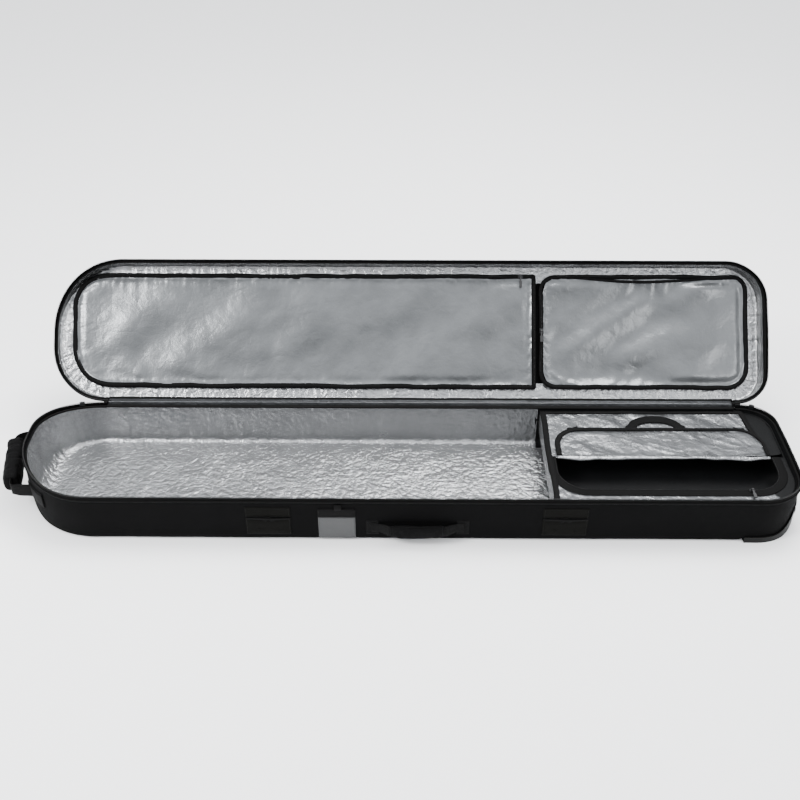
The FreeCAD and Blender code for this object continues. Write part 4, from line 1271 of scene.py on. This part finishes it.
def flap_fold():
    """The fold that the flap turns on, with a droop that hangs into the opening."""
    x = np.linspace(MOUTH_X0 + FLAP_MARGIN, MOUTH_X1 - FLAP_MARGIN, 130)
    p = xyz(x, 0, 0)
    droop = 3.4 + 3.6 * smooth_noise(p, 120, 137) + 1.2 * smooth_noise(p, 40, 138)
    taper = smoothstep((x - x[0]) / 60) * smoothstep((x[-1] - x) / 60)
    y, z = FOLD_Y, BOOT_TOP
    rows = [(y + 3.5, z - 1.0, 0.0), (y - 2.0, z - 1.4, 0.6), (y - 4.0, z - 0.6, 1.0),
            (y - 4.4, z + 1.4, 1.0),
            (y - 3.0, z + 3.2, 0.8), (y + 0.4, z + 4.0, 0.3), (y + 3.0, z + 3.7, 0.0)]
    keys = np.stack([xyz(x, yk - w * droop * taper, zk - 0.5 * w * droop * taper) for yk, zk, w in rows], 1)
    grid = np.array([curve_through(line, count=20) for line in keys])
    fold = loft("boot_flap_fold", grid, SILVER_FLAP)
    thicken(fold, 0.8)
    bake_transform(fold)
    finished(fold, None, "silver_lining")


def flap_binding():
    """Wide binding round the flap's free edge, and its stitches."""
    y = np.concatenate([np.linspace(FOLD_Y + 4, FLAP_END - FLAP_R, 8)[:-1],
                        FLAP_END - FLAP_R + FLAP_R * np.sin(np.linspace(0, pi / 2, 12))])
    left, right = flap_width(y)
    border = np.concatenate([np.stack([left, y], 1), np.stack([right, y], 1)[::-1]])
    border = curve_through(raised(border, 0), 5.0)
    wave = 0.8 * smooth_noise(border, 60, 141)
    border[:, 1] += wave * (border[:, 1] > FLAP_END - 20)
    border[:, 2] = BOOT_TOP + 4.6 + 0.7 * smooth_noise(border, 45, 142)
    across = level_across(border)
    share = np.clip((MOUTH_X1 - border[:, 0]) / 500, 0, 1)
    width = 9.5 + 4.5 * share ** 2
    middle = np.array([MOUTH_MIDDLE, FOLD_Y, 0])
    inward = across * np.sign(((middle - border) * across).sum(1, keepdims=True))
    border = border + inward * (width / 2 - 0.8)[:, None]
    section = flat_section(width, 3.6)
    finished(sweep("boot_flap_edge", border, across, section, BINDING), "flap", "webbing",
             "boot_flap_binding")
    finished(stitches("boot_flap_stitches", [(border + (0, 0, 2.1), UP)], THREAD, pitch=4.0), "flap",
             "webbing")


def flap_handle():
    """Flat grab handle on the flap's free edge."""
    middle = MOUTH_MIDDLE + 2
    base_y, z = FLAP_END + 1.6, BOOT_TOP + 1.3
    half = [(73, 0, 0.6), (61, 9, 0), (48, 26, 0), (20, 38, 0.4)]
    keys = [(middle - x, base_y + y, z + lift) for x, y, lift in half]
    keys += [(middle + x, base_y + y, z + lift) for x, y, lift in half[::-1]]
    path = curve_through(keys, 3.0)
    across = level_across(path)
    t = np.linspace(0, 1, len(path))
    width = 21 + 6 * np.sin(pi * t)
    section = flat_section(width, 1.8)
    finished(sweep("boot_flap_strap", path, across, section, WEBBING), "flap_handle", "webbing",
             "boot_flap_handle")
    a = frames_along(path, across)[1]
    rows = [(path + a * (width / 2 - 2.4)[:, None] * side + (0, 0, 1.2), UP) for side in (-1, 1)]
    finished(stitches("boot_flap_strap_stitches", rows, THREAD, pitch=3.6), "flap_handle", "webbing")


# ---- patches sewn on the front wall
def pad_patch(name, x0, x1, z0, z1, depth, material, crown=0.0, step=3.0, seed=0):
    """A flat piece of cloth on the front wall, with soft edges, a little crown and small dents."""
    x, z = np.linspace(x0, x1, round((x1 - x0) / step)), np.linspace(z0, z1, max(6, round((z1 - z0) / step)))
    xx, zz = np.meshgrid(x, z, indexing="ij")
    near = np.minimum.reduce([xx - x0, x1 - xx, zz - z0, z1 - zz])
    p = xyz(xx, zz, 0)
    rise = depth * smoothstep((near + 0.8) / 1.8) + crown * smoothstep(near / 16)
    rise = rise + smoothstep(near / 8) * 0.5 * smooth_noise(p, 22, seed + 150)
    front = xyz(xx, -HALF_W + 0.6 - rise, zz)
    back = xyz(xx, 1.4 - HALF_W, zz)
    return slab(name, front, back, material)


def strap_pockets():
    """Two low pouches on the front wall, with the compression straps stowed in them."""
    rows, slits = [], []
    for side, x0 in (("left", low("strap_pocket_left")[0]), ("right", low("strap_pocket_right")[0])):
        x1 = x0 + POUCH_W
        finished(pad_patch("strap_pouch_" + side, x0, x1, POUCH_Z0, POUCH_SLIT, 1.8, SHELL_DARK, 2.2,
                           seed=int(x0)), "base", "shell_fabric", "strap_pocket_" + side)
        finished(pad_patch("strap_pouch_cover_" + side, x0, x1, POUCH_SLIT + 3, POUCH_Z1, 1.5, SHELL_DARK,
                           0.4, seed=int(x0) + 5), "base", "shell_fabric")
        y = -HALF_W - 2.0
        hem = curve_through([(x0 + 1, y, POUCH_SLIT), (x0 + 40, y - 2.4, POUCH_SLIT + 0.8),
                             (x1 - 40, y - 2.2, POUCH_SLIT - 0.4), (x1 - 1, y, POUCH_SLIT)], 4)
        finished(sweep("strap_pouch_hem_" + side, hem, UP, flat_section(6, 2.2), BINDING), "base",
                 "shell_fabric")
        slits.append((x0, x1))
        y, left, right, foot, top = -HALF_W - 2.6, x0 + 3, x1 - 3, POUCH_Z0 + 3, POUCH_Z1 - 3
        pairs = [((left, y, z), (right, y, z)) for z in (foot, POUCH_SLIT + 6, top)]
        pairs += [((x, y, foot), (x, y, top)) for x in (left, right)]
        rows += [(np.array(pair), FORWARD) for pair in pairs]
    finished(stitches("strap_pouch_stitches", rows, THREAD, pitch=3.8), "base", "shell_fabric")
    straps = []
    for x0, x1 in slits:
        for layer, (a, b) in enumerate(((28, 30), (33, 36))):
            y, foot, middle = -HALF_W - 0.9 - layer, POUCH_Z0 + 8, 48
            path = curve_through([(x0 + a, y, foot), (x0 + a + 1, y - 0.2, middle),
                                  (x0 + a + 22, y - 0.4, POUCH_SLIT + 1.5),
                                  (x1 - b, y - 0.2, middle), (x1 - b, y, foot)], 3)
            straps.append(sweep(f"stowed_strap_{len(straps)}", path, UP if layer else (0.2, 0, 1),
                                flat_section(9, 0.9), WEBBING))
    bundle = join(straps)
    bundle.name = "stowed_straps"
    finished(bundle, "base", "webbing", "compression_straps")


def label():
    """Plain grey patch, its black band and the small loop above."""
    x0, _, z0 = low("label_patch")
    x1, _, z1 = high("label_patch")
    finished(pad_patch("label_cloth", x0, x1, z0, z1 + 2, 1.3, PATCH, 0.3, step=4.0, seed=31), "base",
             "reflective_patch", "label_patch")
    finished(pad_patch("label_top_band", x0 - 1, x1 + 1, z1 + 0.5, high("label_band")[2] + 1, 2.0, WEBBING,
                       0.4, seed=37), "base", "webbing", "label_band")
    left, _, foot = low("label_loop")
    right, _, top = high("label_loop")
    y = -HALF_W - 1.2
    path = curve_through([(0, y, foot - 3), (0, y - 2.2, foot + 2), (0, y - 3.0, (foot + top) / 2 + 1),
                          (0, y - 1.6, top - 0.5), (0, y + 0.6, top - 1.0), (0, y + 0.8, foot)], 1.2)
    finished(sweep("label_tab", path + ((left + right) / 2, 0, 0), (1, 0, 0),
                   flat_section(right - left - 1, 1.1), WEBBING), "base", "webbing", "label_loop")
    y = -HALF_W - 1.7
    rows = box_stitch(x0 + 3, x1 - 3, z0 + 3, z1 - 1, y, cross=False)
    finished(stitches("label_stitches", rows, GREY_THREAD, pitch=3.6), "base", "reflective_patch")
    rows = box_stitch(x0 + 2, x1 - 2, z1 + 4, high("label_band")[2] - 2, y - 1.2, cross=False)
    finished(stitches("label_band_stitches", rows, THREAD, pitch=3.6), "base", "webbing")


# ---- carrying handles
def padded_bar(name, start, end, size, sag, seed, facets=0.0):
    """A padded sleeve between two points: level size first, then upright."""
    a, b = np.array(start, float), np.array(end, float)
    length = np.linalg.norm(b - a)
    along = (b - a) / length
    level = np.cross(along, UP)
    turn = np.linspace(0, 2 * pi, 40, endpoint=False)
    power = 2 / 3.2
    circle = np.stack([np.sign(np.cos(turn)) * np.abs(np.cos(turn)) ** power * size[0] / 2,
                       np.sign(np.sin(turn)) * np.abs(np.sin(turn)) ** power * size[1] / 2], 1)
    grid = []
    for t in np.linspace(0, 1, round(length / 3.0)):
        end_pull = 1 - 0.22 * np.exp(-min(t, 1 - t) * length / 5)
        middle = a + (b - a) * t - np.array([0, 0, sag]) * sin(pi * t)
        grid.append(middle + end_pull * (circle[:, :1] * level + circle[:, 1:] * UP))
    grid = np.array(grid)
    centre = grid.mean(1, keepdims=True)
    outward = unit(grid - centre)
    dents = 0.6 * smooth_noise(grid, 26, seed) - facets * creases(grid, (34, 26, 40), seed + 1, 2)
    pad = loft(name, grid + outward * dents[..., None], GRIP, around=True, caps=True)
    simulate(pad, edge_mask(grid.shape[:2], sides=False), pressure=1.2, grow=0.03, frames=12, cap=2.2,
             bending=0.6)
    subdivide(pad)
    return pad, a, b, level


def front_handle():
    """Carrying handle on the front wall: anchors, webbing and padded grip."""
    rows = []
    anchors = []
    x_left, _, z0 = low("front_handle_anchors")
    x_right, _, z1 = high("front_handle_anchors")
    for number, (x0, x1) in enumerate(((x_left, x_left + 31), (x_right - 31, x_right))):
        anchors.append(pad_patch(f"handle_anchor_{number}", x0, x1, z0, z1, 1.6, WEBBING, 0.3, step=2.5,
                                 seed=41 + number))
        rows += box_stitch(x0 + 3, x1 - 3, z0 + 4, z1 - 4, -HALF_W - 1.7)
    plates = join(anchors)
    plates.name = "handle_anchors"
    finished(plates, "base", "webbing", "front_handle_anchors")
    finished(stitches("handle_anchor_stitches", rows, THREAD, pitch=3.4), "base", "webbing")

    pivot_y, pivot_z = pivot("front_handle_lift")[1:]
    grip_low, grip_high = low("front_handle_grip"), high("front_handle_grip")
    out = (grip_low[1] + grip_high[1]) / 2 + 4.5
    left, right = x_left + 32, x_right - 32
    half = [(20, -HALF_W - 2.2), (4, -HALF_W - 2.6), (-8, pivot_y - 4), (-20, out + 3), (-32, out)]
    keys = [(left - x, y, pivot_z) for x, y in half] + [(right + x, y, pivot_z) for x, y in half[::-1]]
    path = curve_through(keys, 3.0)
    width = 32 - 5 * np.exp(-((path[:, 0] - left) / 9) ** 2) - 5 * np.exp(-((path[:, 0] - right) / 9) ** 2)
    section = flat_section(width, 2.2)
    strap = sweep("handle_strap", path, UP, section, WEBBING)
    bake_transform(strap)
    finished(strap, None, "webbing", "front_handle_webbing")

    pad, a, b, _ = padded_bar("handle_grip_pad", (grip_low[0], out, pivot_z), (grip_high[0], out, pivot_z),
                              (16.0, 34.0), 2.0, 161)
    finished(pad, "front_handle", "grip_fabric", "front_handle_grip")
    rows = []
    for x in (a[0] + 6, b[0] - 6):
        turn = np.linspace(-pi / 2, pi / 2, 12)
        ring = xyz(x + 0 * turn, out - 8.3 * np.abs(np.cos(turn)) ** 0.6, pivot_z + 17 * np.sin(turn))
        rows.append((ring, (0, -1, 0.01)))
    rows.append((np.array([(a[0] + 6, out - 8.7, pivot_z - 10), (b[0] - 6, out - 8.7, pivot_z - 10)]),
                 FORWARD))
    finished(stitches("handle_grip_stitches", rows, THREAD, pitch=3.6), "front_handle", "grip_fabric")


def haul_handle():
    """Handle round the nose corner for pulling the bag: webbing, sleeve and anchor patches."""
    pivot_x, _, middle_z = pivot("haul_handle_swing")
    sleeve_front, sleeve_rear = np.array((-972.0, -88.0)), np.array((-1006.0, 70.0))
    keys = [(-916, -111), (-938, -110.5), (-956, -109.5), (pivot_x - 4, -107), (-970, -98),
            tuple(sleeve_front), (-985, -28),
            (-998, 30), tuple(sleeve_rear), (-1003, 84), (-990, 94), (-972, 98), (-954, 98.5), (-941, 97)]
    path = curve_through([(x, y, middle_z) for x, y in keys], 3.0)
    width = 38 - 6 * np.exp(-((path[:, 0] - pivot_x) / 10) ** 2)
    section = flat_section(width, 2.6)
    strap = sweep("haul_strap", path, UP, section, WEBBING)
    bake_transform(strap)
    finished(strap, None, "webbing", "haul_handle_webbing")

    points = np.arange(0, PLAN.total, 2.0)
    line = PLAN.at(points, -1.4)
    patches, rows = [], []
    for number, (y0, y1) in enumerate(((-152, -96), (84, 140))):
        run = points[(line[:, 0] < -800) & (line[:, 1] > y0) & (line[:, 1] < y1)]
        for layer, (height, out) in enumerate(((44, -1.2), (37, -2.6))):
            band = raised(PLAN.at(run, out), middle_z)
            patches.append(sweep(f"haul_patch_{number}_{layer}", band, UP, flat_section(height, 1.6),
                                 WEBBING))
        facing = raised(PLAN.normal(run), 0)
        for z in (-15, 15):
            path = raised(PLAN.at(run[2:-2], -3.6), middle_z + z)
            rows.append((path, facing[len(run) // 2]))
        ends = [raised(PLAN.at(run[k], -3.6), middle_z) for k in (2, -3)]
        for at in ends:
            rows.append((np.array([at - (0, 0, 15), at + (0, 0, 15)]), facing[len(run) // 2]))
        for way in (-1, 1):
            rows.append((np.array([ends[0] + (0, 0, 15 * way), ends[1] - (0, 0, 15 * way)]),
                         facing[len(run) // 2]))
    plates = join(patches)
    plates.name = "haul_patches"
    finished(plates, "base", "webbing", "haul_anchor_tabs")
    finished(stitches("haul_patch_stitches", rows, THREAD, pitch=3.6), "base", "webbing")

    pad, a, b, level = padded_bar("haul_sleeve", (*sleeve_front, middle_z), (*sleeve_rear, middle_z),
                                  (43, 52), 1.5, 171, facets=4.2)
    finished(pad, "haul_handle", "grip_fabric", "haul_handle_sleeve")
    rows = []
    for share in (0.05, 0.95):
        centre = a + (b - a) * share
        turn = np.linspace(0, 2 * pi, 30)
        ring = centre + 20.5 * np.cos(turn)[:, None] * level + 25.0 * np.sin(turn)[:, None] * UP
        rows.append((ring, level * 0.7 + (0, 0, 0.7)))
    finished(stitches("haul_sleeve_stitches", rows, THREAD, pitch=3.8), "haul_handle", "grip_fabric")


def wall_seam():
    """Row of stitches under the zip, all round the outer wall."""
    s = PLAN.samples(8.0)
    line = ring_points(s, -0.4, rim_height(PLAN.at(s)[:, 0]) - ZIP - 4.5)
    line = ring_points(s, 0.9 - end_bow(line, 0.86), line[:, 2])
    middle, tangent = spread_along(line, 5.0)
    side = np.tile((0.0, 0, 1), (len(middle), 1))
    axes = np.stack([tangent, side, np.cross(tangent, side)], 1)
    row = scatter("base_wall_stitches", middle, axes, (3.4, 1.0, 1.2), GREY_THREAD, pointed=True)
    finished(row, "base", "shell_fabric")


make_stage()
refinish()
base_shell()
base_bottom()
base_lining()
zip_half("base", "base", -1, as_is, "base_zipper_half", 0.0)
zip_half("lid", "lid", 1, opened, "lid_zipper_half", GAP)
hinge()
hinge_edges()
lid_shell()
lid_top()
lid_lining()
for pocket in ("long", "short"):
    pocket_frame(pocket)
    pocket_panel(pocket)
boot_inside()
boot_divider()
boot_top()
boot_rear()
flap()
flap_fold()
flap_binding()
flap_handle()
strap_pockets()
label()
front_handle()
haul_handle()
wall_seam()
